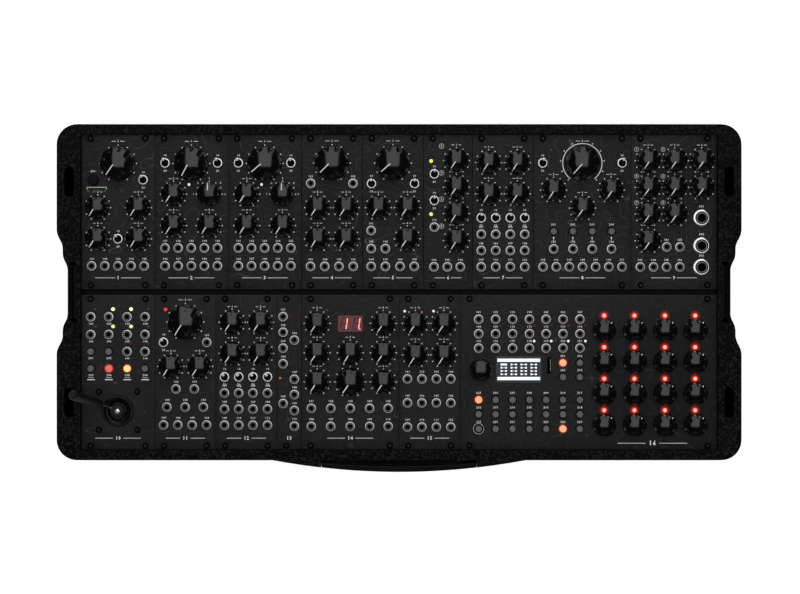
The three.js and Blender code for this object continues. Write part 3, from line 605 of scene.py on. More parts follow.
def case_block(inset, bottom, top, with_bulge):
    """The case's outline, drawn in from the outer face, as an upright block."""
    half = half_width - inset
    low_y, high_y = front + inset, rear - inset
    spread = inset / 2
    bpy.ops.mesh.primitive_plane_add(size=1, location=(0, (low_y + high_y) / 2 * MM, bottom * MM))
    bpy.context.object.scale = (2 * half * MM, (high_y - low_y) * MM, 1)
    apply_placement()
    bpy.ops.object.mode_set(mode="EDIT")
    levels = [WAIST[key] + spread for key in ("half", "ledge_inner", "ledge_outer", "outer")]
    for level in levels:
        for side in (-1, 1):
            bisect_at(middle_y + side * level, "Y")
    depths = [(levels[0], WAIST["inset"]), (levels[1], WAIST["ledge"]), (levels[2], WAIST["ledge"])]
    for level, depth in depths:
        for side in (-1, 1):
            pick("VERT", lambda p, s=side, lv=level: abs(p.x - s * half * MM) < 0.01 * MM
                 and abs(abs(p.y / MM - middle_y) - lv) < 0.01)
            bpy.ops.transform.translate(value=(-side * depth * MM, 0, 0))
    bulge_steps = [-1.0, -0.9, -0.75, -0.6, -0.45, -0.3, -0.15, 0.0, 0.15, 0.3, 0.45, 0.6, 0.75,
                   0.9, 1.0]
    if with_bulge:
        for share in bulge_steps:
            bisect_at(share * BULGE_WIDTH / 2, "X")
        for share in bulge_steps[1:-1]:
            across = share * BULGE_WIDTH / 2
            pick("VERT", lambda p, a=across: abs(p.x / MM - a) < 0.01
                 and abs(p.y / MM - low_y) < 0.01)
            rise = BULGE_RISE - arc_dip(bulge_radius, across)
            bpy.ops.transform.translate(value=(0, -rise * MM, 0))
    bpy.ops.mesh.select_all(action="SELECT")
    bpy.ops.mesh.dissolve_faces()
    corner = CORNER_RADIUS - inset
    pick("VERT", lambda p: abs(abs(p.x / MM) - half) < 0.01
         and min(abs(p.y / MM - low_y), abs(p.y / MM - high_y)) < 0.01)
    bpy.ops.mesh.bevel(offset=corner * MM, segments=10, affect="VERTICES")
    pick("VERT", lambda p: abs(p.x / MM) > half - WAIST["inset"] - 0.1
         and abs(p.y / MM - middle_y) < levels[3] + 0.1)
    bpy.ops.mesh.bevel(offset=3.2 * MM, segments=4, affect="VERTICES")
    bpy.ops.mesh.select_all(action="SELECT")
    bpy.ops.mesh.dissolve_limited(angle_limit=0.001)
    bpy.ops.mesh.select_all(action="SELECT")
    lean_low = 1 - DRAFT * (1 - bottom / case_top)
    lean_high = 1 - DRAFT * (1 - top / case_top)
    bpy.ops.transform.resize(value=(lean_low, lean_low, 1),
                             center_override=(0, middle_y * MM, bottom * MM))
    extrude_by(0, 0, top - bottom)
    bpy.ops.transform.resize(value=(lean_high / lean_low, lean_high / lean_low, 1),
                             center_override=(0, middle_y * MM, top * MM))
    return leave_edit()


# %% Cutters for the case
def rounded_slot(width, length, bottom, top, x, y, radius):
    """An upright cutter with rounded corners."""
    cutter = slab(width, length, bottom, top, x, y)
    bpy.ops.object.mode_set(mode="EDIT")
    pick("EDGE", lambda p: abs(p.z / MM - (bottom + top) / 2) < 0.1)
    bpy.ops.mesh.bevel(offset=radius * MM, segments=6, affect="EDGES")
    bpy.ops.object.mode_set(mode="OBJECT")
    return cutter


def rod_along_x(diameter, start, end, y, z, sides=24):
    """A round cutter or pin that lies along X."""
    rod = stack([(diameter / 2, start), (diameter / 2, end)], sides)
    rod.matrix_world = (Matrix.Translation((0, y * MM, z * MM))
                        @ Matrix.Rotation(math.radians(90), 4, "Y"))
    apply_placement()
    return rod


# %% Case shell: block, soft edges, hollow, opening, slots and the notch for the handle
EDGE_RADIUS = 1.4
shell = case_block(0.0, FOOT_HEIGHT, case_top, True)
soften(shell, EDGE_RADIUS, 4, 60)
hollow = case_block(WALL, FOOT_HEIGHT + FLOOR_THICKNESS, rim_underside, False)
cut(shell, hollow)
opening = rounded_slot(RACK_WIDTH + 2 * PANEL_GAP, 2 * (rows_half + PANEL_GAP),
                       rim_underside - 1, case_top + OVERRUN, 0, middle_y, 0.6)
cut(shell, opening)
thumb_low = (FOOT_HEIGHT + PANEL_TOP - THUMBSCREW["spacing"]) / 2
slots = []
for side in (-1, 1):
    for end in (-1, 1):
        slots.append(rounded_slot(SLOT["width"], SLOT["length"], rim_underside - 1,
                                  case_top + OVERRUN, side * (half_width - SLOT["inset"]),
                                  middle_y + end * SLOT["spacing"] / 2, SLOT["width"] / 2 - 0.05))
    plate_x = half_width - WAIST["inset"] - PLATE_SLOT["wall"] - PLATE_SLOT["width"] / 2
    slots.append(rounded_slot(PLATE_SLOT["width"], PLATE_SLOT["length"], rim_underside - 1,
                              case_top + OVERRUN, side * plate_x, middle_y, 1.2))
    for z in (thumb_low, thumb_low + THUMBSCREW["spacing"]):
        wall_x = side * (half_width - WAIST["inset"])
        slots.append(rod_along_x(THUMBSCREW["hole"], wall_x - THUMBSCREW["reach"],
                                 wall_x + THUMBSCREW["reach"], middle_y, z))
cut(shell, join(slots, "slots"))
notch_depth = BULGE_RISE + OVERRUN
notch = rounded_slot(HANDLE["width"] + 2 * FIT_GAP, notch_depth, NOTCH_FLOOR,
                     case_top + OVERRUN, 0, front - notch_depth / 2, 0.05)
cut(shell, notch)
end_dip = arc_dip(bulge_radius, HANDLE["width"] / 2)
pin_y = front - (HANDLE["gap"] + BULGE_RISE - end_dip) / 2
pin_z = case_top - HANDLE["drop"] - HANDLE["pin_drop"]
pin_reach = HANDLE["width"] / 2 + HANDLE["pin_length"] + FIT_GAP
cut(shell, rod_along_x(HANDLE["pin"] + 2 * FIT_GAP, -pin_reach, pin_reach, pin_y, pin_z))
shell.name = "case_moulding"
smooth(shell, 30)
paint(shell, case_plastic)
settle(shell, "root", ["case_shell"])
print("case moulding:", len(shell.data.polygons), "faces")

# %% [markdown]
# ## What belongs to the case: rubber feet, rail posts and the carrying handle
#
# Feet are turned shapes, so `stack` makes one and copies do the rest. The handle is drawn like the
# case: a plane with cross lines, whose edges follow two arcs, extruded and rounded, and a rounded
# window for the fingers.

# %% Rubber feet with a recessed screw
foot_radius = FOOT_DIAMETER / 2
foot = stack([(foot_radius - 0.6, 0.0), (foot_radius - 0.1, 0.5), (foot_radius, 0.9),
              (foot_radius, FOOT_HEIGHT + 0.3)], 40)
cut(foot, stack([(2.6, -1.0), (2.6, 1.2)], 24))
smooth(foot, 40)
paint(foot, rubber)
store(foot, "foot_master")
feet = [copy_at(foot, sx * (half_width - FOOT_INSET), y, 0.0) for sx in (-1, 1)
        for y in (front + FOOT_INSET, rear - FOOT_INSET)]
settle(join(feet, "rubber_feet"))

# %% Posts that carry the rails
POST_WIDTH = 12.0
POST_SINK = 0.5
RAILS = ("rail_rear", "rail_middle", "rail_front")
posts = []
for name in RAILS:
    low, high = (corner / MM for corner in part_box(name))
    for side in (-1, 1):
        x = (low.x + high.x) / 2 + side * (high.x - low.x - POST_WIDTH) / 2
        post = slab(POST_WIDTH, high.y - low.y, FOOT_HEIGHT + FLOOR_THICKNESS - POST_SINK,
                    low.z - FIT_GAP, x, (low.y + high.y) / 2)
        soften(post, 0.8, 2)
        posts.append(post)
rail_posts = join(posts, "rail_posts")
paint(rail_posts, case_plastic)
smooth(rail_posts)
settle(rail_posts)

# %% Carrying handle: two arcs, a finger window, soft edges and two pins
handle_low, handle_high = (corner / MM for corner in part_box("handle_bail"))
half_handle = HANDLE["width"] / 2
back_radius = arc_radius(HANDLE["width"], HANDLE["sag"])
back_middle = front - HANDLE["gap"]
front_middle = front - BULGE_RISE
bpy.ops.mesh.primitive_plane_add(size=1, location=(0, front * MM, handle_low.z * MM))
bpy.context.object.scale = (HANDLE["width"] * MM, 2 * MM, 1)
apply_placement()
bpy.ops.object.mode_set(mode="EDIT")
handle_steps = [step / 8 for step in range(-8, 9)]
for share in handle_steps[1:-1]:
    bisect_at(share * half_handle, "X")
for share in handle_steps:
    across = share * half_handle
    edges = {
        1: back_middle - HANDLE["sag"] + arc_dip(back_radius, across),
        -1: front_middle + arc_dip(bulge_radius, across),
    }
    for side, target in edges.items():
        pick("VERT", lambda p, a=across, s=side: abs(p.x / MM - a) < 0.01
             and s * (p.y / MM - front) > 0.5 and s * (p.y / MM - front) < 1.5)
        bpy.ops.transform.translate(value=(0, (target - (front + side)) * MM, 0))
        bpy.ops.mesh.hide(unselected=False)
bpy.ops.mesh.reveal()
bpy.ops.mesh.select_all(action="SELECT")
bpy.ops.mesh.dissolve_faces()
extrude_by(0, 0, handle_high.z - handle_low.z)
leave_edit()
handle = bpy.context.object
window = slab(HANDLE["width"] - 2 * HANDLE["post"], BULGE_RISE + 2 * OVERRUN,
              handle_low.z + HANDLE["bar"], handle_high.z - HANDLE["bar"], 0,
              front - BULGE_RISE / 2)
bpy.ops.object.mode_set(mode="EDIT")
pick("EDGE", lambda p: abs(p.y / MM - (front - BULGE_RISE / 2)) < 0.1)
bpy.ops.mesh.bevel(offset=HANDLE["window_corner"] * MM, segments=6, affect="EDGES")
bpy.ops.object.mode_set(mode="OBJECT")
cut(handle, window)
soften(handle, 1.1, 3, 50)
pin_start = half_handle - HANDLE["pin_sink"]
pins = [rod_along_x(HANDLE["pin"], side * pin_start, side * (half_handle + HANDLE["pin_length"]),
                    pin_y, pin_z) for side in (-1, 1)]
for pin in pins:
    soften(pin, 0.4, 2)
paint(handle, handle_plastic)
for pin in pins:
    paint(pin, dull_steel)
handle = join([handle, *pins], "carrying_handle")
smooth(handle, 35)
settle(handle, "handle_bail", ["handle_bail"])
print("handle:", len(handle.data.polygons), "faces")

# %% [markdown]
# ## Masters of what repeats: sockets, screws, switches, knobs
#
# All masters are drawn at the world's middle with the panel's top face at height zero, so a copy
# only needs its place. Turned parts come from `stack`; flutes, sockets and slots are picked faces
# that are moved, inset or extruded.

# %% Jack socket: knurled ring nut, threaded bushing, and a bore painted black as shade
jack = stack([(3.1, -6.5), (3.1, -0.4), (4.0, -0.4), (4.0, 1.45), (3.88, 1.72), (3.18, 1.8),
              (3.08, 1.65), (3.02, 0.5), (2.55, 0.5), (2.5, 1.75), (2.42, 1.85), (2.1, 1.85),
              (1.98, 1.6), (1.9, -5.5)], 16)
paint(jack, nickel)
# Painted highlight: the ring nut's top faces get the brighter nickel.
paint(jack, highlight_nickel, lambda p: off_axis(p) > 3.05 and p.z > 1.5 * MM)
paint(jack, dull_steel, lambda p: off_axis(p) < 2.48)
# Painted shade: the bore, the groove round the bushing and all below the panel get the near-black
# shade finish.
paint(jack, shade_black, lambda p: off_axis(p) < 2.03 or p.z < -0.5 * MM
      or 2.48 < off_axis(p) < 3.05)
smooth(jack, 30)
store(jack, "jack_master")
print("jack:", len(jack.data.polygons), "faces")

# %% Large jack socket: a polished nut round a duller ring, as on a quarter-inch socket; the groove between them and the bore are painted black as shade
big_jack = stack([(5.5, -10.5), (5.5, -0.5), (7.4, -0.5), (7.4, 1.9), (6.9, 2.6), (5.6, 2.95),
                  (5.35, 2.9), (5.1, 2.5), (4.95, 0.9), (4.55, 0.9), (4.45, 2.5), (4.3, 2.75),
                  (3.85, 2.75), (3.6, 2.4), (3.45, 1.6), (3.4, -8.8)], 40)
paint(big_jack, polished)
# Painted shade: the bore, the groove round the inner ring and all below the panel get the
# near-black shade finish.
paint(big_jack, shade_black, lambda p: off_axis(p) < 3.5 or p.z < -0.6 * MM
      or 4.46 < off_axis(p) < 5.2)
paint(big_jack, dull_steel, lambda p: 3.5 < off_axis(p) < 4.46)
smooth(big_jack, 30)
store(big_jack, "big_jack_master")

# %% Panel screw: black pan head with a hexagonal socket
screw = stack([(2.75, 0.0), (2.8, 0.35), (2.7, 0.9), (2.35, 1.5), (1.8, 1.85), (1.35, 1.95)], 24)
socket_cutter = stack([(1.25, 0.7), (1.25, 2.5)], 6)
cut(screw, socket_cutter)
paint(screw, black_oxide)
# Painted highlight: the socket's floor gets the lighter metal.
paint(screw, socket_highlight_steel, lambda p: off_axis(p) < 1.0 and p.z < 1.0 * MM)
smooth(screw, 35)
store(screw, "screw_master")

# %% Toggle switch: hexagonal nut, threaded bushing, and a lever that leans to the rear
TOGGLE_TILT = -12.0
TOGGLE_PIVOT = 2.2
nut = stack([(4.4, -0.3), (4.4, 1.4), (4.05, 1.9), (3.15, 2.0), (3.05, 0.4)], 12)
soften(nut, 0.12, 2, 25)
bush = stack([(2.75, 0.5), (2.75, 4.2), (2.55, 4.5), (2.35, 4.5), (2.2, 4.2), (1.75, 1.2)], 20)
THREAD_PITCH = 0.6
thread = [2.3 + THREAD_PITCH * turn for turn in range(3)]
ridges = [stack([(2.77, z), (2.87, z + THREAD_PITCH / 4), (2.77, z + THREAD_PITCH / 2)], 20)
          for z in thread]
paint(nut, polished)
for part in (bush, *ridges):
    paint(part, black_oxide)
# Painted shade: the inside of the bushing gets the near-black shade finish.
paint(bush, shade_black, lambda p: off_axis(p) < 2.25)
switch_base = join([nut, bush, *ridges], "switch_base")
smooth(switch_base, 35)
store(switch_base, "switch_master")

lever = stack([(0.95, -0.9), (0.95, 3.0), (1.15, 7.6), (1.4, 10.2), (1.45, 10.9), (1.3, 11.5),
               (0.9, 11.9), (0.4, 12.05)], 16)
paint(lever, polished)
lever.matrix_world = (Matrix.Translation((0, 0, TOGGLE_PIVOT * MM))
                      @ Matrix.Rotation(math.radians(TOGGLE_TILT), 4, "X"))
lever = join([lever], "lever")
smooth(lever, 40)
store(lever, "lever_master")

# %% Push button: a collar and a softly domed cap; the cap alone is a master too
def button_collar(edge, height, finish, name):
    """The ring round a button: black as painted shade, or with the button's light painted on it as
    a red glow.
    """
    ring = stack([(3.65, -0.3), (3.65, 0.2), (edge, height), (2.95, height), (2.95, -1.5)], 28)
    paint(ring, finish)
    smooth(ring, 35)
    return store(ring, name)


def button_cap(radius, height, depth, finish, name):
    """A round cap with a rolled edge and a slight crown."""
    cap = stack([(radius, -depth), (radius, height - 0.7), (radius - 0.2, height - 0.25),
                 (radius - 0.65, height), (radius * 0.6, height + 0.08),
                 (radius * 0.2, height + 0.12)], 28)
    paint(cap, finish)
    smooth(cap, 50)
    return store(cap, name)


CAP_FINISHES = {"grey": button_plastic, "orange": lit_orange, "amber": lit_amber,
                "red": lit_red}
CAPS = {colour: button_cap(2.8, 2.8, 4.9, finish, f"cap_{colour}")
        for colour, finish in CAP_FINISHES.items()}
# Painted shade: the ring round an unlit button gets the near-black shade finish, standing for the
# dark gap round the cap.
collar = button_collar(3.5, 0.3, shade_black, "collar_master")
# Painted light: the collar of a lit button glows red as if lit by its cap.
glow_painted_collar = button_collar(3.4, 0.45, painted_collar_glow, "lit_collar_master")
wide_cap = button_cap(4.75, 3.2, 1.0, grip_plastic, "wide_cap")

# %% Small lights: a domed epoxy lens for every colour
LIGHTS = {}
SMALL_LIGHTS = ("green", "white", "dim", "amber")
SMALL_LIGHT_SHARE = 0.72
for colour, finish in LENSES.items():
    size = SMALL_LIGHT_SHARE if colour in SMALL_LIGHTS else 1.0
    light = stack([(1.5 * size, -0.6), (1.5 * size, 0.5), (1.3 * size, 1.1), (0.85 * size, 1.5),
                   (0.3 * size, 1.65)], 14)
    paint(light, finish)
    smooth(light, 60)
    LIGHTS[colour] = store(light, f"light_{colour}")

# %% The step lights: a hot middle in a red lens, and round it a disc of glowing rings, painted light that stands for the red light falling on the panel
HALO_EDGES = (4.3, 3.6, 3.0, 2.5, 2.0)
step_light = stack([(HALO_EDGES[0], -0.1), *[(edge, 0.08) for edge in HALO_EDGES], (1.6, 0.5),
                    (1.45, 1.15), (1.1, 1.5), (0.5, 1.7), (0.2, 1.72)], 24)
# Painted light: each ring of the disc gets its glow, dimmer towards the edge.
for halo, edge in zip(reversed(lens_and_painted_halos), HALO_EDGES):
    paint(step_light, halo, lambda p, edge=edge: off_axis(p) < edge + 0.01)
paint(step_light, LENSES["hot"], lambda p: off_axis(p) < 1.4 and p.z > 0)
smooth(step_light, 50)
LIGHTS["step"] = store(step_light, "light_step")
print("button caps:", len(CAPS), "lights:", len(LIGHTS))

# %% [markdown]
# ## Fluted knobs
#
# The knobs are moulded in phenolic: a skirt that slopes up to a cap with round flutes in its side
# and a domed top. The profile is stacked with many columns; then the columns in the middle of each
# flute are scaled inwards, the ones beside them a little less. The white pointer is a strip that
# follows the same profile, laid just proud of the surface like the real inlay.

# %% Knob sizes in millimetres, and the function that models one
POINTER = {"width": 0.8, "depth": 0.4, "proud": 0.07}
# Short white strips near the rim, in millimetres from the axis. On the step knobs, which have no
# pointer, the strip is a painted highlight that stands for a lamp's glint, and their turn puts it
# at the upper right. On the small knobs it is a second dash beyond the pointer.
RIM_DASH_AND_PAINTED_GLINT = {"small": (8.1, 8.7), "step": (7.2, 8.3)}
FLUTE_SHARES = (1.0, 0.86, 0.5, 0.14)
FLUTE_DEPTH_SHARE = {"data": 0.04}
FLUTE_INNER_SHARE = 0.72
DOME_SHARES = (0.994, 0.93, 0.86, 0.78, 0.68, 0.56, 0.42, 0.26, 0.1)
KNOBS = {
    "large": {"skirt": 14.25, "skirt_height": 1.6, "cap": 13.6, "height": 16.5, "crown": 2.6,
              "flutes": 8, "columns": 12, "pointer": (2.7, 12.8)},
    "medium": {"skirt": 11.75, "skirt_height": 1.5, "cap": 11.2, "height": 15.5, "crown": 2.2,
               "flutes": 8, "columns": 12, "pointer": (2.4, 10.4)},
    "small": {"skirt": 9.75, "skirt_height": 1.4, "cap": 9.3, "height": 14.5, "crown": 1.8,
              "flutes": 6, "columns": 12, "pointer": (2.3, 7.5)},
    "step": {"skirt": 9.65, "skirt_height": 1.4, "cap": 9.2, "height": 14.5, "crown": 1.8,
             "flutes": 6, "columns": 12, "pointer": None},
    "data": {"skirt": 9.3, "skirt_height": 1.4, "cap": 8.7, "height": 14.0, "crown": 1.4,
             "flutes": 16, "columns": 6, "pointer": None},
}
KNOB_LIFT = 0.8


def knob_profile(size):
    """Radius and height along the knob's side, from its rim to the middle of its domed top."""
    skirt, cap, height, crown = size["skirt"], size["cap"], size["height"], size["crown"]
    rise = size["skirt_height"]
    edge = cap * 0.955
    dome = [(edge * share, height - crown * share * share) for share in DOME_SHARES]
    return [
        (skirt - 0.2, 0.0), (skirt, 0.2), (skirt, rise * 0.6), (cap + 0.1, rise),
        (cap, rise + 0.5), (cap * 0.975, height * 0.55), (edge, height - crown - 0.12), *dome,
    ]


def model_knob(kind):
    """A fluted knob with its pointer, drawn round the Z axis."""
    size = KNOBS[kind]
    columns = size["columns"]
    profile = [(r, z + KNOB_LIFT) for r, z in knob_profile(size)]
    knob = stack(profile, size["flutes"] * columns)
    flute_low = KNOB_LIFT + size["skirt_height"] + 0.4
    bpy.ops.object.mode_set(mode="EDIT")
    step = 2 * math.pi / (size["flutes"] * columns)
    depth = FLUTE_DEPTH_SHARE.get(kind, 0.08)
    shift = columns // 2 - round(-math.pi / 2 / step) % columns
    for offset, share in enumerate(FLUTE_SHARES[:columns // 2]):
        def in_flute(p, offset=offset):
            column = (round(math.atan2(p.y, p.x) / step) + shift) % columns
            near = min(column, columns - column)
            return (near == offset and p.z / MM > flute_low
                    and off_axis(p) > size["cap"] * FLUTE_INNER_SHARE)

        pick("VERT", in_flute)
        inward = 1 - depth * share
        bpy.ops.transform.resize(value=(inward, inward, 1), center_override=(0, 0, 0))
    bpy.ops.object.mode_set(mode="OBJECT")
    paint(knob, phenolic)
    # The pointer is print; the rim strip is a painted highlight on the step knobs.
    strips = [pointer_strip(profile, *ends)
              for ends in (size["pointer"], RIM_DASH_AND_PAINTED_GLINT.get(kind)) if ends]
    knob = join([knob, *strips], f"knob_{kind}")
    smooth(knob, 40)
    return store(knob, f"knob_{kind}_master")


def height_at(profile, radius):
    """The knob's height at this radius, on its outer side."""
    for (r0, z0), (r1, z1) in zip(profile[6:], profile[7:]):
        if r1 <= radius <= r0:
            return z0 + (z1 - z0) * (r0 - radius) / max(r0 - r1, 1e-6)
    return profile[-1][1]


def pointer_strip(profile, start, end):
    """A strip along -Y that follows the knob's profile between two radii."""
    radii = sorted({start, end, *[r for r, z in profile if start < r < end]}, reverse=True)
    points = [(r, height_at(profile, r) + POINTER["proud"]) for r in radii]
    bpy.ops.mesh.primitive_plane_add(size=1, location=(0, -points[0][0] * MM, 0))
    strip = bpy.context.object
    strip.scale = (POINTER["width"] * MM, 0.01 * MM, 1)
    strip.location.z = (points[0][1] - POINTER["depth"]) * MM
    apply_placement()
    bpy.ops.object.mode_set(mode="EDIT")
    extrude_by(0, 0, POINTER["depth"])
    pick("FACE", lambda p: p.y > (-points[0][0] + 0.004) * MM)
    for (r0, z0), (r1, z1) in zip(points, points[1:]):
        extrude_by(0, r0 - r1, z1 - z0)
    leave_edit()
    paint(strip, print_and_glint_white)
    return strip


knob_masters = {kind: model_knob(kind) for kind in KNOBS}
print("knob faces:", {kind: len(m.data.polygons) for kind, m in knob_masters.items()})

# %% [markdown]
# ## Printed marks
#
# Print is a film of ink. Here it is a real, very thin shape on the panel, so it shows from every
# side and in any program: dots on a dial, plain numbers, bars, and rings made with `spin`.

# %% Dots, digits, bars and rings of ink
INK = 0.06
INK_SINK = 0.1
ADVANCE_SHARE = 0.82
ARC_STEP = 9
DOT_STEP = 30
dot = stack([(0.55, -INK_SINK), (0.55, INK * 0.6), (0.45, INK)], 8)
paint(dot, print_and_glint_white)
store(dot, "dot_master")


def on_circle(x, y, radius, angle):
    """A place round a middle; the angle runs clockwise from straight down."""
    turn = math.radians(angle)
    return x - radius * math.sin(turn), y - radius * math.cos(turn)


def dial_dots(radius, first):
    """A ring of dots from an angle to its mirror image on the other side."""
    dots = [copy_at(dot, *on_circle(0, 0, radius, angle), 0)
            for angle in range(first, 361 - first, DOT_STEP)]
    return store(join(dots, "dial"), "dial_master")


DIAL_SIZES = {"large": (15.3, 30), "medium": (12.8, 30), "small": (10.8, 30),
              "octave": (10.8, 90)}
DIALS = {kind: dial_dots(*size) for kind, size in DIAL_SIZES.items()}


def model_digit(digit):
    """One digit, centred on the origin and one millimetre high."""
    bpy.ops.object.text_add(location=(0, 0, 0))
    letter = bpy.context.object
    letter.data.body = str(digit)
    letter.data.align_x = "CENTER"
    letter.data.align_y = "CENTER"
    letter.data.size = 1.38 * MM
    letter.data.resolution_u = 1
    letter.data.extrude = INK * MM
    letter.data.offset = 0.035 * MM
    bpy.ops.object.convert(target="MESH")
    letter = bpy.context.object
    bpy.ops.object.mode_set(mode="EDIT")
    bpy.ops.mesh.select_all(action="SELECT")
    bpy.ops.mesh.remove_doubles(threshold=0.002 * MM)
    bpy.ops.mesh.normals_make_consistent(inside=False)
    bpy.ops.object.mode_set(mode="OBJECT")
    paint(letter, print_and_glint_white)
    return store(letter, f"digit_{digit}")


digits = [model_digit(digit) for digit in range(10)]
print("digit faces:", [len(d.data.polygons) for d in digits])


def number(value, x, y, height):
    """A plain number in print, its middle at the place given."""
    glyphs = []
    text = str(value)
    for index, figure in enumerate(text):
        offset = (index - (len(text) - 1) / 2) * ADVANCE_SHARE * height
        glyph = copy_at(digits[int(figure)], x + offset, y, PANEL_TOP)
        glyph.scale = (height, height, 1)
        glyphs.append(glyph)
    return glyphs


def bar(width, depth, x, y):
    """A straight printed bar."""
    strip = slab(width, depth, PANEL_TOP - INK_SINK, PANEL_TOP + INK, x, y)
    paint(strip, print_and_glint_white)
    return strip


def arc(radius, width, start, end, x, y):
    """A printed arc, spun from a small square; angles run clockwise from straight down."""
    bpy.ops.mesh.primitive_plane_add(size=1, location=(0, 0, 0))
    line = bpy.context.object
    line.scale = (width * MM, (INK + INK_SINK) * MM, 1)
    apply_placement()
    line.matrix_world = (Matrix.Rotation(math.radians(-start), 4, "Z")
                         @ Matrix.Translation((0, -radius * MM, 0))
                         @ Matrix.Rotation(math.radians(90), 4, "Z")
                         @ Matrix.Rotation(math.radians(90), 4, "X"))
    apply_placement()
    bpy.ops.object.mode_set(mode="EDIT")
    bpy.ops.mesh.select_all(action="SELECT")
    bpy.ops.mesh.spin(steps=int((end - start) / ARC_STEP), angle=math.radians(end - start),
                      center=(0, 0, 0), axis=(0, 0, 1))
    leave_edit()
    line.matrix_world = Matrix.Translation((x * MM, y * MM, PANEL_TOP * MM))
    apply_placement()
    paint(line, print_and_glint_white)
    return line


def circle(radius, width, x, y):
    """A printed circle."""
    inner, outer = radius - width / 2, radius + width / 2
    low, high = PANEL_TOP - INK_SINK, PANEL_TOP + INK
    line = hoop([(inner, low), (outer, low), (outer, high), (inner, high)], 24, (x, y))
    paint(line, print_and_glint_white)
    return line


# %% [markdown]
# ## What each panel carries
#
# Places are shares of a panel's width and height, measured from its middle, so a layout stays right
# when a panel's size changes. Small lights were measured in the photograph itself, and
# `from_photo` turns those pixels into millimetres in the plane of the panels.

# %% Pixels of the photograph to millimetres, and the two rows of modules
PIXELS_PER_MM = 1.2025
PHOTO_MIDDLE = (399.1, 292.0)


def from_photo(px, py):
    """The place in the panels' plane that a pixel of the photograph shows."""
    return ((px - PHOTO_MIDDLE[0]) / PIXELS_PER_MM,
            (PHOTO_MIDDLE[1] - py) / PIXELS_PER_MM + middle_y)


def grid(xs, ys):
    """All places in a rectangle of columns and rows."""
    return [(x, y) for y in ys for x in xs]


SMALL_TURN = 33
FOUR = (-0.36, -0.121, 0.119, 0.358)
FIVE = (-0.36, -0.18, 0, 0.18, 0.36)
oscillator = {
    "large": [(0, 0.313)], "small": grid([-0.245, 0.245], [0.114, -0.089]),
    "small_turn": {1: 180}, "octave": [1], "toggles": grid([-0.36, 0.36], [0.315]),
    "jacks": grid(FIVE, [-0.234, -0.35]),
}
rear_row = [
    {"name": "wavetable_oscillator", "large": [(0, 0.313)], "large_turn": 37,
     "small": grid([-0.28, 0.28], [0.027, -0.175]),
     "toggles": [(0.345, 0.206), (0, -0.175)], "wide": [(-0.343, 0.206)],
     "jacks": grid(FIVE, [-0.35]),
     "lights": [("green", 88.3, 191.1), ("green", 94.4, 191.1), ("green", 99.3, 191.1),
                ("green", 105.1, 191.1)]},
    {**oscillator, "name": "oscillator_one", "large_turn": 30,
     "lights": [("white", 189.0, 184.5)]},
    {**oscillator, "name": "oscillator_two", "large_turn": 51,
     "lights": [("white", 261.5, 184.5)]},
    {"name": "filter", "large": [(0, 0.316)], "large_turn": 46,
     "small": grid([-0.236, 0.236], [0.027, -0.175]),
     "jacks": grid([-0.348, 0.348], [0.184]) + grid([-0.352, -0.117, 0.117, 0.352], [-0.353])},
    {"name": "low_pass_gate", "large": [(0, 0.316)], "large_turn": 50,
     "small": grid([-0.24, 0.24], [0.027]) + [(0.235, -0.175)],
     "toggles": grid([-0.355, 0.355], [0.182]),
     "jacks": [(-0.36, -0.121)] + grid([-0.36, -0.126], [-0.238])
     + grid([-0.36, -0.126, 0.116, 0.35], [-0.353]),
     "lights": [("dim_red", 389.2, 230.7)]},
    {"name": "envelope", "small": grid([0.175], [0.332, 0.159, -0.011, -0.186]),
     "toggles": grid([-0.283], [0.244, 0.073]), "screws": 1,
     "jacks": [(-0.283, -0.099)] + grid([-0.29, -0.015, 0.253], [-0.356]),
     "lights": [("gold", 431.1, 161.0), ("gold", 431.1, 214.1)]},
    {"name": "quad_amplifier_rear", "small": grid([-0.237, 0.237], [0.318, 0.116]),
     "toggles": grid(FOUR, [-0.039]), "jacks": grid(FOUR, [-0.145, -0.25, -0.356])},
    {"name": "stereo_delay", "large": [(0, 0.315)], "large_turn": 42,
     "small": grid([-0.296, 0.296], [0.141]) + [(0, 0.024)],
     "toggles": grid([-0.408, 0.408], [0.315]),
     "buttons": grid([-0.296, -0.098, 0.1, 0.298], [-0.126]),
     "jacks": grid([-0.296, -0.098, 0.1, 0.298], [-0.24])
     + grid([-0.406, -0.27, -0.135, 0, 0.135, 0.27, 0.406], [-0.356]),
     "lights": [("dim", 551.2, 150.0)]},
    {"name": "output",
     "small": grid([-0.304, 0.008, 0.326], [0.331, 0.158]) + grid([-0.304, 0.008], [-0.014])
     + [(-0.304, -0.188)],
     "jacks": grid([-0.088, 0.066], [-0.227]) + grid([-0.399, -0.243, -0.09, 0.066], [-0.357]),
     "big_jacks": grid([0.322], [-0.04, -0.22, -0.359])},
]
SEVEN = (-0.429, -0.363, -0.297, -0.231, -0.166, -0.1, -0.034)
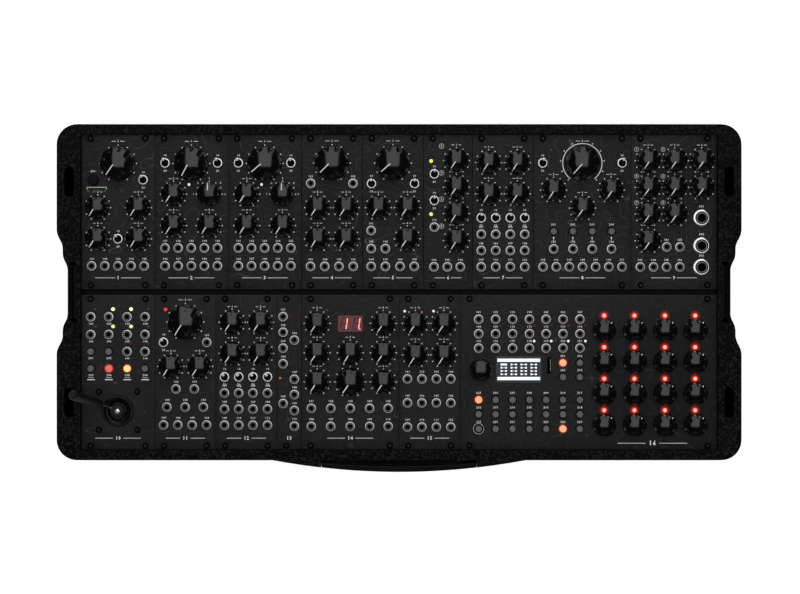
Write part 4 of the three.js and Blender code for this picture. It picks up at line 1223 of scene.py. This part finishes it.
front_row = [
    {"name": "joystick", "deep": True, "joystick": [(0, -0.25)],
     "buttons": grid([-0.372, -0.126], [0.134]) + grid([-0.372, -0.126, 0.126, 0.372], [0.024]),
     "lit": {3: "red", 4: "amber"},
     "jacks": grid([-0.372, -0.126, 0.126, 0.372], [0.358, 0.244]) + grid([0.126, 0.372], [0.134]),
     "lights": [("lime", 113.1, 309.1), ("lime", 131.1, 309.1), ("yellow", 113.1, 326.4),
                ("yellow", 131.1, 326.4), ("dim_red", 131.1, 342.9), ("dim_red", 148.7, 343.4),
                ("dim", 95.6, 309.1), ("dim", 148.7, 309.1), ("dim", 95.6, 326.4),
                ("dim", 148.7, 326.4)]},
    {"name": "modulator", "large": [(0, 0.325)], "large_turn": 33,
     "small": grid([-0.237, 0.237], [0.037]), "toggles": [(-0.356, 0.193)],
     "jacks": [(0.356, 0.193)] + grid([-0.151, 0.151], [-0.108]) + grid([-0.3, 0, 0.3], [-0.225])
     + grid([-0.355, -0.12, 0.115, 0.354], [-0.341]),
     "lights": [("red", 165.6, 309.4)]},
    {"name": "quad_amplifier_front",
     "small": grid([-0.234, 0.234], [0.323, 0.121]),
     "toggles": grid([-0.36, -0.124, 0.11, 0.35], [-0.03]),
     "jacks": grid([-0.36, -0.124, 0.11, 0.35], [-0.134, -0.238, -0.342])},
    {"name": "mixer_splitter", "screws": 1,
     "jacks": grid([-0.25], [0.36, 0.259, 0.156, 0.055, -0.202])
     + grid([0.22], [0.208, -0.045, -0.144, -0.247, -0.348]),
     "lights": [("amber", 280.2, 378.0), ("dim_red", 291.6, 316.0)]},
    {"name": "effects", "medium": [(0, -0.063)],
     "small": grid([-0.34, 0.34], [0.316, -0.063]) + grid([-0.34, 0, 0.34], [0.125]),
     "jacks": grid([-0.4, -0.2, 0, 0.2, 0.39], [-0.233, -0.35]),
     "lights": [("dim", 327.2, 310.0)], "numbers": (0, 0.314, 20.5, 13.3)},
    {"name": "voltage_tools", "small": grid([-0.235, 0.235], [0.316, 0.112]),
     "jacks": grid([-0.366, -0.128, 0.111, 0.348], [-0.043, -0.198, -0.354]),
     "lights": [("white", 404.7, 311.1), ("white", 433.5, 311.1), ("dim_red", 419.5, 310.3),
                ("dim_red", 448.5, 310.3)]},
    {"name": "sequencer",
     "steps": grid([0.061, 0.179, 0.298, 0.416], [0.272, 0.068, -0.136, -0.34]),
     "data": [(-0.42, 0.014)],
     "buttons": grid([-0.1, -0.034], [0.061, -0.031]) + grid(SEVEN, [-0.178, -0.272, -0.366]),
     "lit": {0: "orange", 4: "orange", 23: "orange"}, "jacks": grid(SEVEN, [0.343, 0.249, 0.156]),
     "dots": (-0.272, 0.018, 37.8, 21.9), "card": (-0.153, 0.044, 3.4, 13.8),
     "lights": [("dim_red", x, 325.5) for x in (500.6, 534.4, 551.2, 568.3, 585.4)]
     + [("white", x, 341.0) for x in (534.1, 551.2, 568.3, 585.4)]},
]
print("sockets:", sum(len(layout["jacks"]) for layout in rear_row + front_row))


# %% Where a module is, and where the things on it are
PLACED = ("large", "medium", "small", "steps", "data", "toggles", "buttons", "wide", "jacks",
          "big_jacks", "joystick")
WINDOWS = ("numbers", "dots", "card")


def middle_of(node):
    """The middle of a CAD node's box seen from above, in millimetres."""
    low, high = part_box(node)
    return (low.x + high.x) / 2 / MM, (low.y + high.y) / 2 / MM


def surveyed(layout):
    """The layout with its panel's middle and width, and with places in millimetres."""
    low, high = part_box(f"{layout['name']}_module")
    width = (high.x - low.x) / MM
    x, y = middle_of(f"{layout['name']}_module")
    placed = {**layout, "middle": (x, y), "width": width}
    for kind in PLACED:
        placed[kind] = [(x + sx * width, y + sy * PANEL_HEIGHT) for sx, sy in layout.get(kind, ())]
    for kind in WINDOWS:
        if kind in layout:
            sx, sy, across, tall = layout[kind]
            placed[kind] = (x + sx * width, y + sy * PANEL_HEIGHT, across, tall)
    return placed


modules = {layout["name"]: surveyed(layout) for layout in rear_row + front_row}

# %% [markdown]
# ## Panels and boards
#
# A panel is a 2 mm aluminium plate. The holes for sockets, buttons and displays are real holes, so
# one looks past their rims into the dark. The circuit board behind it hangs on two spacers, and a
# power header stands on its rear side.

# %% Panel plate with its holes
SCREW_INSET = 7.5
SCREW_EDGE = 3.2
PANEL_EDGE = 0.3
WINDOW_CORNER = 0.6
CUT_LOW, CUT_HIGH = PANEL_TOP - 4, PANEL_TOP + 1
HOLES = {"jacks": (3.1, 20), "big_jacks": (5.6, 28), "buttons": (3.6, 20), "joystick": (12.1, 48)}


def panel_plate(module):
    """The plate, its rounded edges, and a hole for everything that passes through it."""
    plate = slab(module["width"], PANEL_HEIGHT, PANEL_TOP - PANEL_THICKNESS, PANEL_TOP,
                 *module["middle"])
    soften(plate, PANEL_EDGE, 2)
    cutters = [stack([(radius, CUT_LOW), (radius, CUT_HIGH)], sides, spot)
               for kind, (radius, sides) in HOLES.items() for spot in module[kind]]
    for kind in WINDOWS:
        if kind in module:
            x, y, across, high = module[kind]
            cutters.append(rounded_slot(across, high, CUT_LOW, CUT_HIGH, x, y, WINDOW_CORNER))
    cut(plate, join(cutters, "holes"))
    paint(plate, panel_coat)
    # Painted highlight: the bevel faces round the plate's top get the lighter edge finish.
    paint(plate, edge_highlight_coat, lambda p: 0.01 < PANEL_TOP - p.z / MM < PANEL_EDGE - 0.01)
    smooth(plate, 30)
    return plate


# %% Circuit board, spacers and power header
BOARD = {"depth": 10.0, "deep": 16.0, "inset": 1.2, "height": 106.0, "thickness": 1.6,
         "corner": 1.0}
SPACER = {"radius": 2.0, "reach": 49.0, "edge": 0.15, "sink": 0.2, "rise": 0.1}
HEADER = {"width": 8.8, "length": 20.0, "drop": 10.0, "sink": 1.5, "wall": 1.0, "hollow": 6.0}


def board(module):
    """The board behind a panel with what carries it."""
    top = PANEL_TOP - PANEL_THICKNESS - BOARD["deep" if module.get("deep") else "depth"]
    x, y = module["middle"]
    plate = rounded_slot(module["width"] - 2 * BOARD["inset"], BOARD["height"],
                         top - BOARD["thickness"], top, x, y, BOARD["corner"])
    paint(plate, circuit)
    spacers = []
    for side in (-1, 1):
        ends = (top - SPACER["sink"], PANEL_TOP - PANEL_THICKNESS + SPACER["rise"])
        spacer = stack([(SPACER["radius"], z) for z in ends], 6, (x, y + side * SPACER["reach"]))
        soften(spacer, SPACER["edge"], 1, 50)
        paint(spacer, aluminium)
        spacers.append(spacer)
    low = top - HEADER["drop"]
    header = slab(HEADER["width"], HEADER["length"], low, top - HEADER["sink"], x, y)
    bpy.ops.object.mode_set(mode="EDIT")
    pick("FACE", lambda p: p.z / MM < low + 0.1)
    bpy.ops.mesh.inset(thickness=HEADER["wall"] * MM)
    bpy.ops.transform.translate(value=(0, 0, HEADER["hollow"] * MM))
    bpy.ops.object.mode_set(mode="OBJECT")
    paint(header, socket_plastic)
    return join([plate, *spacers, header], f"{module['name']}_board")


# %% [markdown]
# ## Displays and the joystick
#
# The number display is a block of red segments under dark glass; here it counts, and shows plain
# figures. The dot display shows a grid of bars. The joystick is a domed rubber boot with rolled
# rings, a thin steel rod and a thicker grip, which leans over as in the photograph.

# %% Seven-segment figures and the dot display
SEGMENTS = {0: "abcdef", 1: "bc", 2: "abged", 3: "abgcd", 4: "fgbc", 5: "afgcd", 6: "afgedc",
            7: "abc", 8: "abcdefg", 9: "abcdfg"}
SLANT = 0.13
FIGURE = {"value": 1, "offset": 5.2, "width": 4.6, "height": 9.4, "bar": 0.8, "gap": 0.9,
          "thickness": 0.15, "corner": 0.3, "point": 0.9, "point_offset": 1.1}
PANE = {"lap": 1.0, "bottom": 3.4, "top": 0.9, "corner": 0.8, "edge": 0.15}
glow_height = PANEL_TOP - PANE["top"] - 0.05


def pane(module, kind, finish):
    """The sunk glass of a display."""
    x, y, across, high = module[kind]
    sheet = rounded_slot(across + PANE["lap"], high + PANE["lap"], PANEL_TOP - PANE["bottom"],
                         PANEL_TOP - PANE["top"], x, y, PANE["corner"])
    soften(sheet, PANE["edge"], 1)
    paint(sheet, finish)
    return sheet


def seven_segments(figure, x, y, pointed=False):
    """One figure of the number display: lit and unlit bars, and its decimal point."""
    width, half, z = FIGURE["width"], FIGURE["height"] / 2, glow_height
    top = z + FIGURE["thickness"]
    places = {"a": (0, half, 1), "g": (0, 0, 1), "d": (0, -half, 1),
              "f": (-width / 2, half / 2, 0), "b": (width / 2, half / 2, 0),
              "e": (-width / 2, -half / 2, 0), "c": (width / 2, -half / 2, 0)}
    bars = []
    for letter, (dx, dy, lying) in places.items():
        size = (width - FIGURE["gap"], FIGURE["bar"]) if lying else (FIGURE["bar"], half - 0.5)
        segment = rounded_slot(*size, z, top, 0, 0, FIGURE["corner"])
        segment.matrix_world = (Matrix.Translation((x * MM + (dx + dy * SLANT) * MM,
                                                    (y + dy) * MM, 0))
                                @ Matrix.Rotation(0 if lying else -math.atan(SLANT), 4, "Z"))
        lit = letter in SEGMENTS[figure]
        paint(segment, segment_glow if lit else segment_dark)
        bars.append(segment)
    point_x = x + width / 2 + FIGURE["point_offset"] - half * SLANT
    point = rounded_slot(FIGURE["point"], FIGURE["point"], z, top, point_x, y - half, 0.4)
    paint(point, segment_glow if pointed else segment_dark)
    return [*bars, point]


def number_window(module):
    """The sunk number display with a plain two-digit count."""
    x, y = module["numbers"][:2]
    bars = seven_segments(FIGURE["value"], x - FIGURE["offset"], y)
    bars += seven_segments(FIGURE["value"], x + FIGURE["offset"], y, True)
    return join([pane(module, "numbers", red_glass_painted_glow), *bars], f"{module['name']}_display")


DOTS = {"bar_inset": 1.15, "bar": 2.6, "bar_offset": 7.6, "columns": 4, "rows": 4,
        "pitch_x": 8.3, "pitch_y": 2.7, "film": 0.12, "cursor": (5.4, 1.6), "link": (2.4, 0.3),
        "dot": (1.5, 1.35), "dot_offset": 1.9, "corner": 0.2}


def dot_window(module):
    """The sunk dot display: two pale bars and a grid of linked pairs of dots between them."""
    x, y, across, high = module["dots"]
    low, top, corner = glow_height, glow_height + DOTS["film"], DOTS["corner"]
    pieces = [rounded_slot(across - 2 * DOTS["bar_inset"], DOTS["bar"], low, top, x,
                           y + side * DOTS["bar_offset"], 0.3) for side in (-1, 1)]
    for row in range(DOTS["rows"]):
        for column in range(DOTS["columns"]):
            cell_x = x + (column - (DOTS["columns"] - 1) / 2) * DOTS["pitch_x"]
            cell_y = y + ((DOTS["rows"] - 1) / 2 - row) * DOTS["pitch_y"]
            if row == column == 0:
                pieces.append(rounded_slot(*DOTS["cursor"], low, top, cell_x, cell_y, corner))
                continue
            pieces.append(slab(*DOTS["link"], low, top - 0.02, cell_x, cell_y))
            for side in (-1, 1):
                pieces.append(rounded_slot(*DOTS["dot"], low, top,
                                           cell_x + side * DOTS["dot_offset"], cell_y, corner))
    for piece in pieces:
        paint(piece, dot_glow)
    return join([pane(module, "dots", glass), *pieces], f"{module['name']}_display")


CONTACT = {"count": 6, "pitch": 1.7, "width": 0.7, "length": 0.8, "low": 1.7, "high": 1.2,
           "offset": 1.1, "edge": 0.08}


def card_slot(module):
    """The memory card's slot: a throat block painted black as shade, with its row of contacts."""
    x, y, across, high = module["card"]
    throat = rounded_slot(across + 1, high + 1, PANEL_TOP - 5.0, PANEL_TOP - 1.6, x, y, 0.5)
    # Painted shade: the block under the opening is near-black, standing for the dark inside of the
    # slot.
    paint(throat, shade_black)
    contacts = []
    for order in range(CONTACT["count"]):
        contact = slab(CONTACT["width"], CONTACT["length"], PANEL_TOP - CONTACT["low"],
                       PANEL_TOP - CONTACT["high"], x + CONTACT["offset"],
                       y + (order - (CONTACT["count"] - 1) / 2) * CONTACT["pitch"])
        soften(contact, CONTACT["edge"], 1)
        paint(contact, nickel)
        contacts.append(contact)
    return join([throat, *contacts], f"{module['name']}_card_slot")


# %% Joystick lever: boot, forks, rod and grip, leaning as it rests
STICK = {"pivot_depth": 5.5, "tilt_x": -16.8, "tilt_y": -28.4, "dome": 8.4, "wall": 1.0,
         "reach": 78, "length": 62.0, "grip_start": 25.0, "grip": 4.1, "rod": 0.95,
         "bezel": 13.2, "screws": 15.9, "fork": (5.0, 1.8), "fork_low": -2.5, "fork_high": 4.4,
         "fork_offset": 4.9}
OUTER_SHARES = (1.0, 0.9, 0.8, 0.7, 0.6, 0.5, 0.4, 0.3, 0.22)
INNER_SHARES = (0.3, 0.5, 0.7, 0.85, 1.0)


def dome_curve(radius, shares):
    """Points down a dome, at these shares of its reach."""
    turns = [math.radians(STICK["reach"] * share) for share in shares]
    return [(radius * math.sin(turn), radius * math.cos(turn)) for turn in turns]


def joystick_lever(x, y):
    """Everything that tilts with the lever."""
    dome = STICK["dome"]
    boot = stack([*dome_curve(dome - STICK["wall"], INNER_SHARES),
                  *dome_curve(dome, OUTER_SHARES), (1.9, dome + 0.5), (1.5, dome + 1.2)], 40)
    paint(boot, rubber)
    rod = stack([(STICK["rod"], dome - 0.8), (STICK["rod"], STICK["grip_start"] + 1)], 20)
    paint(rod, nickel)
    end, radius, start = STICK["length"], STICK["grip"], STICK["grip_start"]
    grip = stack([(radius * 0.5, start), (radius * 0.8, start + 0.5), (radius * 0.86, start + 1.6),
                  (radius * 0.88, start + 6), (radius * 0.94, start + 20),
                  (radius * 0.985, end - 8), (radius, end - 4), (radius, end - 1.0),
                  (radius * 0.93, end - 0.25), (radius * 0.8, end), (radius * 0.45, end - 0.15),
                  (radius * 0.2, end - 0.2)], 28)
    paint(grip, grip_plastic)
    forks = []
    for side in (-1, 1):
        fork = slab(*STICK["fork"], STICK["fork_low"], STICK["fork_high"], 0,
                    side * STICK["fork_offset"])
        soften(fork, 0.4, 2)
        paint(fork, grip_plastic)
        forks.append(fork)
    lever = join([boot, rod, grip, *forks], "joystick_stick")
    smooth(lever, 50)
    lean = (Matrix.Rotation(math.radians(STICK["tilt_x"]), 4, "X")
            @ Matrix.Rotation(math.radians(STICK["tilt_y"]), 4, "Y"))
    pivot = Vector((x, y, PANEL_TOP - STICK["pivot_depth"])) * MM
    lever.matrix_world = Matrix.Translation(pivot) @ lean
    return join([lever], "joystick_stick")


def boot_rings(x, y):
    """The boot's rolled rings and its polished middle, upright as the boot is drawn at rest."""
    pivot = PANEL_TOP - STICK["pivot_depth"]
    parts = []
    for radius, width in ((7.2, 0.45), (5.0, 0.4)):
        height = pivot + math.sqrt(STICK["dome"] ** 2 - radius ** 2)
        roll = hoop([(radius - width, height - 0.9), (radius + width, height - 0.9),
                     (radius + width, height - 0.15), (radius, height + 0.28),
                     (radius - width, height + 0.12)], 40, (x, y))
        paint(roll, gloss_black)
        parts.append(roll)
    top = pivot + STICK["dome"]
    knob = stack([(1.9, top - 0.7), (1.9, top + 0.3), (1.75, top + 0.6), (1.3, top + 0.72),
                  (0.6, top + 0.76)], 24, (x, y))
    paint(knob, polished)
    parts.append(knob)
    return parts


# %% [markdown]
# ## Furnishing the modules
#
# Each module becomes a handful of pieces by kind: plate, board, screws, sockets, knobs, switches,
# buttons, lights and print. What turns or slides in the CAD model stays a piece of its own that
# rides on its own body, so the pose of the model moves it.

# %% Marks that only some modules have
LABEL = {"knob": 1.7, "main_knob": 1.9, "title": 2.9, "long_title": 4.0, "step": 1.5}
FLANK = {"width": 0.42, "gap": 0.7}
BRACKET = {"lap": 1.0, "rise": 3.2, "width": 0.4, "leg": 1.8}
SCALE = {"radius": 16.4, "width": 0.7, "start": 38, "dots": 18.2, "first": 40, "step": 28}
ARROW = {"head": 0.95, "width": 0.4, "low": 5.2, "high": 4.6}
MARKS = {"output": (1.75, 0.25, -9.6, 9.4), "envelope": (1.9, 0.3, -12.4, 12.0)}
BUTTON_BARS = ((4.4, 0.3, 7.6), (6.4, 0.8, 9.3))


def flanked(value, x, y, height, reach):
    """A number between two short bars, as wide as a title."""
    ink = number(value, x, y, height)
    inner = 0.62 * height * len(str(value)) + FLANK["gap"]
    for side in (-1, 1):
        ink.append(bar(reach - inner, FLANK["width"], x + side * (inner + reach) / 2, y))
    return ink


def arrow_up(x, low_y, high_y):
    """A printed arrow that points to the rear."""
    head = stack([(ARROW["head"], -INK_SINK), (ARROW["head"], INK)], 3)
    paint(head, print_and_glint_white)
    head = copy_at(store(head, "arrow_head"), x, high_y - 0.6, PANEL_TOP, 0)
    return [bar(ARROW["width"], high_y - low_y - 1.0, x, (high_y + low_y) / 2 - 0.5), head]


def circled(value, x, y, radius, width, dx, dy):
    """A number in a circle beside a knob."""
    return [circle(radius, width, x + dx, y + dy), *number(value, x + dx, y + dy, LABEL["knob"])]


def special_marks(module):
    """The brackets, arcs, circles and arrows of single modules."""
    name = module["name"]
    ink = []
    if name == "wavetable_oscillator":
        places = [from_photo(px, py) for colour, px, py in module["lights"]]
        left, right = places[0][0] - BRACKET["lap"], places[-1][0] + BRACKET["lap"]
        y = places[0][1] + BRACKET["rise"]
        ink.append(bar(right - left, BRACKET["width"], (left + right) / 2, y))
        ink += [bar(BRACKET["width"], BRACKET["leg"], x, y - 0.8) for x in (left, right)]
    if name == "stereo_delay":
        x, y = module["large"][0]
        ink.append(arc(SCALE["radius"], SCALE["width"], SCALE["start"], 360 - SCALE["start"],
                       x, y))
        ink += [copy_at(dot, *on_circle(x, y, SCALE["dots"], angle), PANEL_TOP)
                for angle in range(SCALE["first"], 361 - SCALE["first"], SCALE["step"])]
        for (jack_x, jack_y), (_, button_y) in zip(module["jacks"], module["buttons"]):
            ink += arrow_up(jack_x, jack_y + ARROW["low"], button_y - ARROW["high"])
    if name == "output":
        for order, (x, y) in enumerate(module["small"]):
            if order % 3 != 2:
                ink += circled(order + 1, x, y, *MARKS[name])
    if name == "envelope":
        for order, (x, y) in enumerate(module["small"]):
            ink += circled(2 * order + 2, x, y, *MARKS[name])
    if name == "joystick":
        ink += [bar(across, depth, x, y - drop) for x, y in module["buttons"][2:]
                for across, depth, drop in BUTTON_BARS]
    if name == "sequencer":
        ink.append(circle(4.4, 0.2, *module["buttons"][18]))
    return ink


# %% Print of one module: dials, numbers and marks
MAIN_LABEL_RISE = {"large": 18.4, "medium": 15.4}
LABEL_RISE = 13.0
STEP_RADIUS = 13.2
TOGGLE_LABELS = ((10, 6.4), (20, -6.4))
SIDE_LABELS = {"jacks": (101, 5.8, 1.7), "buttons": (201, 5.6, 1.7), "wide": (201, 7.2, 1.7),
               "big_jacks": (301, 9.6, 1.8)}
TITLE = {"share": 0.427, "edge": 9.0, "longest": 19.0, "shortest": 6.0, "long_reach": 29.0,
         "long_offset": 15.0, "long_drop": 4.2}


def module_print(module, index):
    """Ink on one panel: a dial round each knob and plain numbers."""
    ink = special_marks(module)
    label = 1
    for kind, rise in MAIN_LABEL_RISE.items():
        for x, y in module[kind]:
            if module["name"] != "stereo_delay":
                ink.append(copy_at(DIALS[kind], x, y, PANEL_TOP))
            ink += flanked(label, x, y + rise, LABEL["main_knob"], 5.5)
            label += 1
    for order, (x, y) in enumerate(module["small"]):
        octave = order in module.get("octave", ())
        ink.append(copy_at(DIALS["octave" if octave else "small"], x, y, PANEL_TOP))
        if octave:
            for step in range(5):
                place = on_circle(x, y, STEP_RADIUS, 90 + 45 * step)
                ink += number(step + 1, *place, LABEL["step"])
        else:
            ink += flanked(label, x, y + LABEL_RISE, LABEL["knob"], 4.0)
        label += 1
    for x, y in module["toggles"]:
        for value, rise in TOGGLE_LABELS:
            ink += number(value, x, y + rise, LABEL["knob"])
    side = -1 if module["name"] == "joystick" else 1
    for kind, (first, rise, height) in SIDE_LABELS.items():
        for order, (x, y) in enumerate(module[kind]):
            ink += number(order + first, x, y + side * rise, height)
    middle_x, title_y = module["middle"][0], module["middle"][1] - TITLE["share"] * PANEL_HEIGHT
    reach = min(module["width"] / 2 - TITLE["edge"], TITLE["longest"])
    if module["steps"]:
        ink += flanked(index, module["steps"][1][0] + TITLE["long_offset"],
                       title_y - TITLE["long_drop"], LABEL["long_title"], TITLE["long_reach"])
    elif reach > TITLE["shortest"]:
        ink += flanked(index, middle_x, title_y, LABEL["title"], reach)
    else:
        ink += number(index, middle_x, title_y, LABEL["title"])
    return ink


# %% All that is fixed on one module
GROUPS = {"screws": "steel", "sockets": "steel", "knobs": "knob", "switches": "steel",
          "buttons": "button", "lights": "button", "print": "panel"}
FIXED = {"small_knob": "knobs", "toggle": "switches", "button": "buttons"}
STEP_LIGHT_RISE = 12.1
SCREW_TURN = 17
SOCKET_TURN = 37
NUT_TURN = 30


def furnish(module, index):
    """Model, place and hang all pieces of one module."""
    name = module["name"]
    plate = settle(panel_plate(module), "root", [f"{name}_module"])
    plate.name = f"{name}_panel"
    settle(board(module))
    parts = {kind: [] for kind in GROUPS}
    parts["print"] = module_print(module, index)

    def add(piece, kind, order):
        """Keep a piece for its group, or hang it on its own body where the CAD part moves."""
        if name == "stereo_delay":
            node = f"{name}_{kind}_{order + 1}"
            settle(join([piece], f"{node}_dressed"), node, [node])
        else:
            parts[FIXED[kind]].append(piece)

    for side in (-1,) if module.get("screws") == 1 else (-1, 1):
        for end in (-1, 1):
            x = module["middle"][0] + side * (module["width"] / 2 - SCREW_INSET)
            y = module["middle"][1] + end * (PANEL_HEIGHT / 2 - SCREW_EDGE)
            parts["screws"].append(copy_at(screw, x, y, PANEL_TOP, SCREW_TURN * index))
    for order, (x, y) in enumerate(module["jacks"]):
        parts["sockets"].append(copy_at(jack, x, y, PANEL_TOP, SOCKET_TURN * order))
    for x, y in module["big_jacks"]:
        parts["sockets"].append(copy_at(big_jack, x, y, PANEL_TOP))
    for order, (x, y) in enumerate(module["small"]):
        turn = module.get("small_turn", {}).get(order, SMALL_TURN)
        add(copy_at(knob_masters["small"], x, y, PANEL_TOP, -turn), "small_knob", order)
    for x, y in module["wide"]:
        parts["buttons"].append(copy_at(wide_cap, x, y, PANEL_TOP))
    for order, (x, y) in enumerate(module["toggles"]):
        parts["switches"].append(copy_at(switch_base, x, y, PANEL_TOP, NUT_TURN * (order % 2)))
        add(copy_at(lever, x, y, PANEL_TOP), "toggle", order)
    for order, (x, y) in enumerate(module["buttons"]):
        colour = module.get("lit", {}).get(order, "grey")
        ring = collar if colour == "grey" else glow_painted_collar
        parts["buttons"].append(copy_at(ring, x, y, PANEL_TOP))
        add(copy_at(CAPS[colour], x, y, PANEL_TOP), "button", order)
    for colour, px, py in module.get("lights", ()):
        parts["lights"].append(copy_at(LIGHTS[colour], *from_photo(px, py), PANEL_TOP))
    for x, y in module["steps"]:
        parts["lights"].append(copy_at(LIGHTS["step"], x, y + STEP_LIGHT_RISE, PANEL_TOP))
    for kind, slot in GROUPS.items():
        if parts[kind]:
            settle(join(parts[kind], f"{name}_{kind}"))


for index, module in enumerate(modules.values(), start=1):
    furnish(module, index)

# %% Turning knobs on their own bodies
MEDIUM_TURN = 34
# The step knobs' turn also sets where their painted highlight strip lands: at the upper right.
STEP_TURN = 215
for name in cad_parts:
    for kind in ("large", "medium", "step", "data"):
        if f"_{kind}_knob" not in name:
            continue
        owner = modules[name.split(f"_{kind}_knob")[0]]
        turn = owner.get("large_turn", MEDIUM_TURN) if kind in ("large", "medium") else STEP_TURN
        knob = copy_at(knob_masters[kind], *middle_of(name), PANEL_TOP, -turn)
        settle(join([knob], f"{name}_dressed"), name, [name])

# %% Joystick: the leaning lever in its bezel, which four screws hold
x, y = modules["joystick"]["joystick"][0]
stick = join([joystick_lever(x, y), *boot_rings(x, y)], "joystick_stick")
smooth(stick, 50)
settle(stick, "joystick_lever", ["joystick_lever"])
rim, hole_edge = STICK["bezel"], STICK["dome"] + 0.35
bezel = hoop([(hole_edge, -2.0), (rim - 1.2, -1.9), (rim - 1.2, -0.4), (rim, -0.3), (rim, 0.6),
              (rim - 0.4, 1.3), (rim - 1.0, 1.35), (rim - 1.5, 0.9), (hole_edge + 1.2, 0.1),
              (hole_edge + 0.3, 0.05), (hole_edge, -0.3)], 56)
paint(bezel, gloss_black)
smooth(bezel, 35)
store(bezel, "bezel_master")
parts = [copy_at(bezel, x, y, PANEL_TOP)]
for side in (-1, 1):
    for end in (-1, 1):
        parts.append(copy_at(screw, x + side * STICK["screws"], y + end * STICK["screws"],
                             PANEL_TOP, 20 * side))
settle(join(parts, "joystick_bezel"))

# %% Displays and card slot
settle(number_window(modules["effects"]))
settle(dot_window(modules["sequencer"]))
settle(card_slot(modules["sequencer"]))

# %% Better materials for the CAD nodes that stay
kept = {"rail_rear": anodised, "rail_middle": anodised, "rail_front": anodised,
        "bus_board": circuit, "nut_plate_left": anodised, "nut_plate_right": anodised,
        "joystick_gimbal": dull_steel}
for name, finish in kept.items():
    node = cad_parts[name]
    for slot in node.material_slots:
        slot.material = finish
print("kept CAD nodes:", len(kept))

# %% Update the scene
bpy.context.view_layer.update()
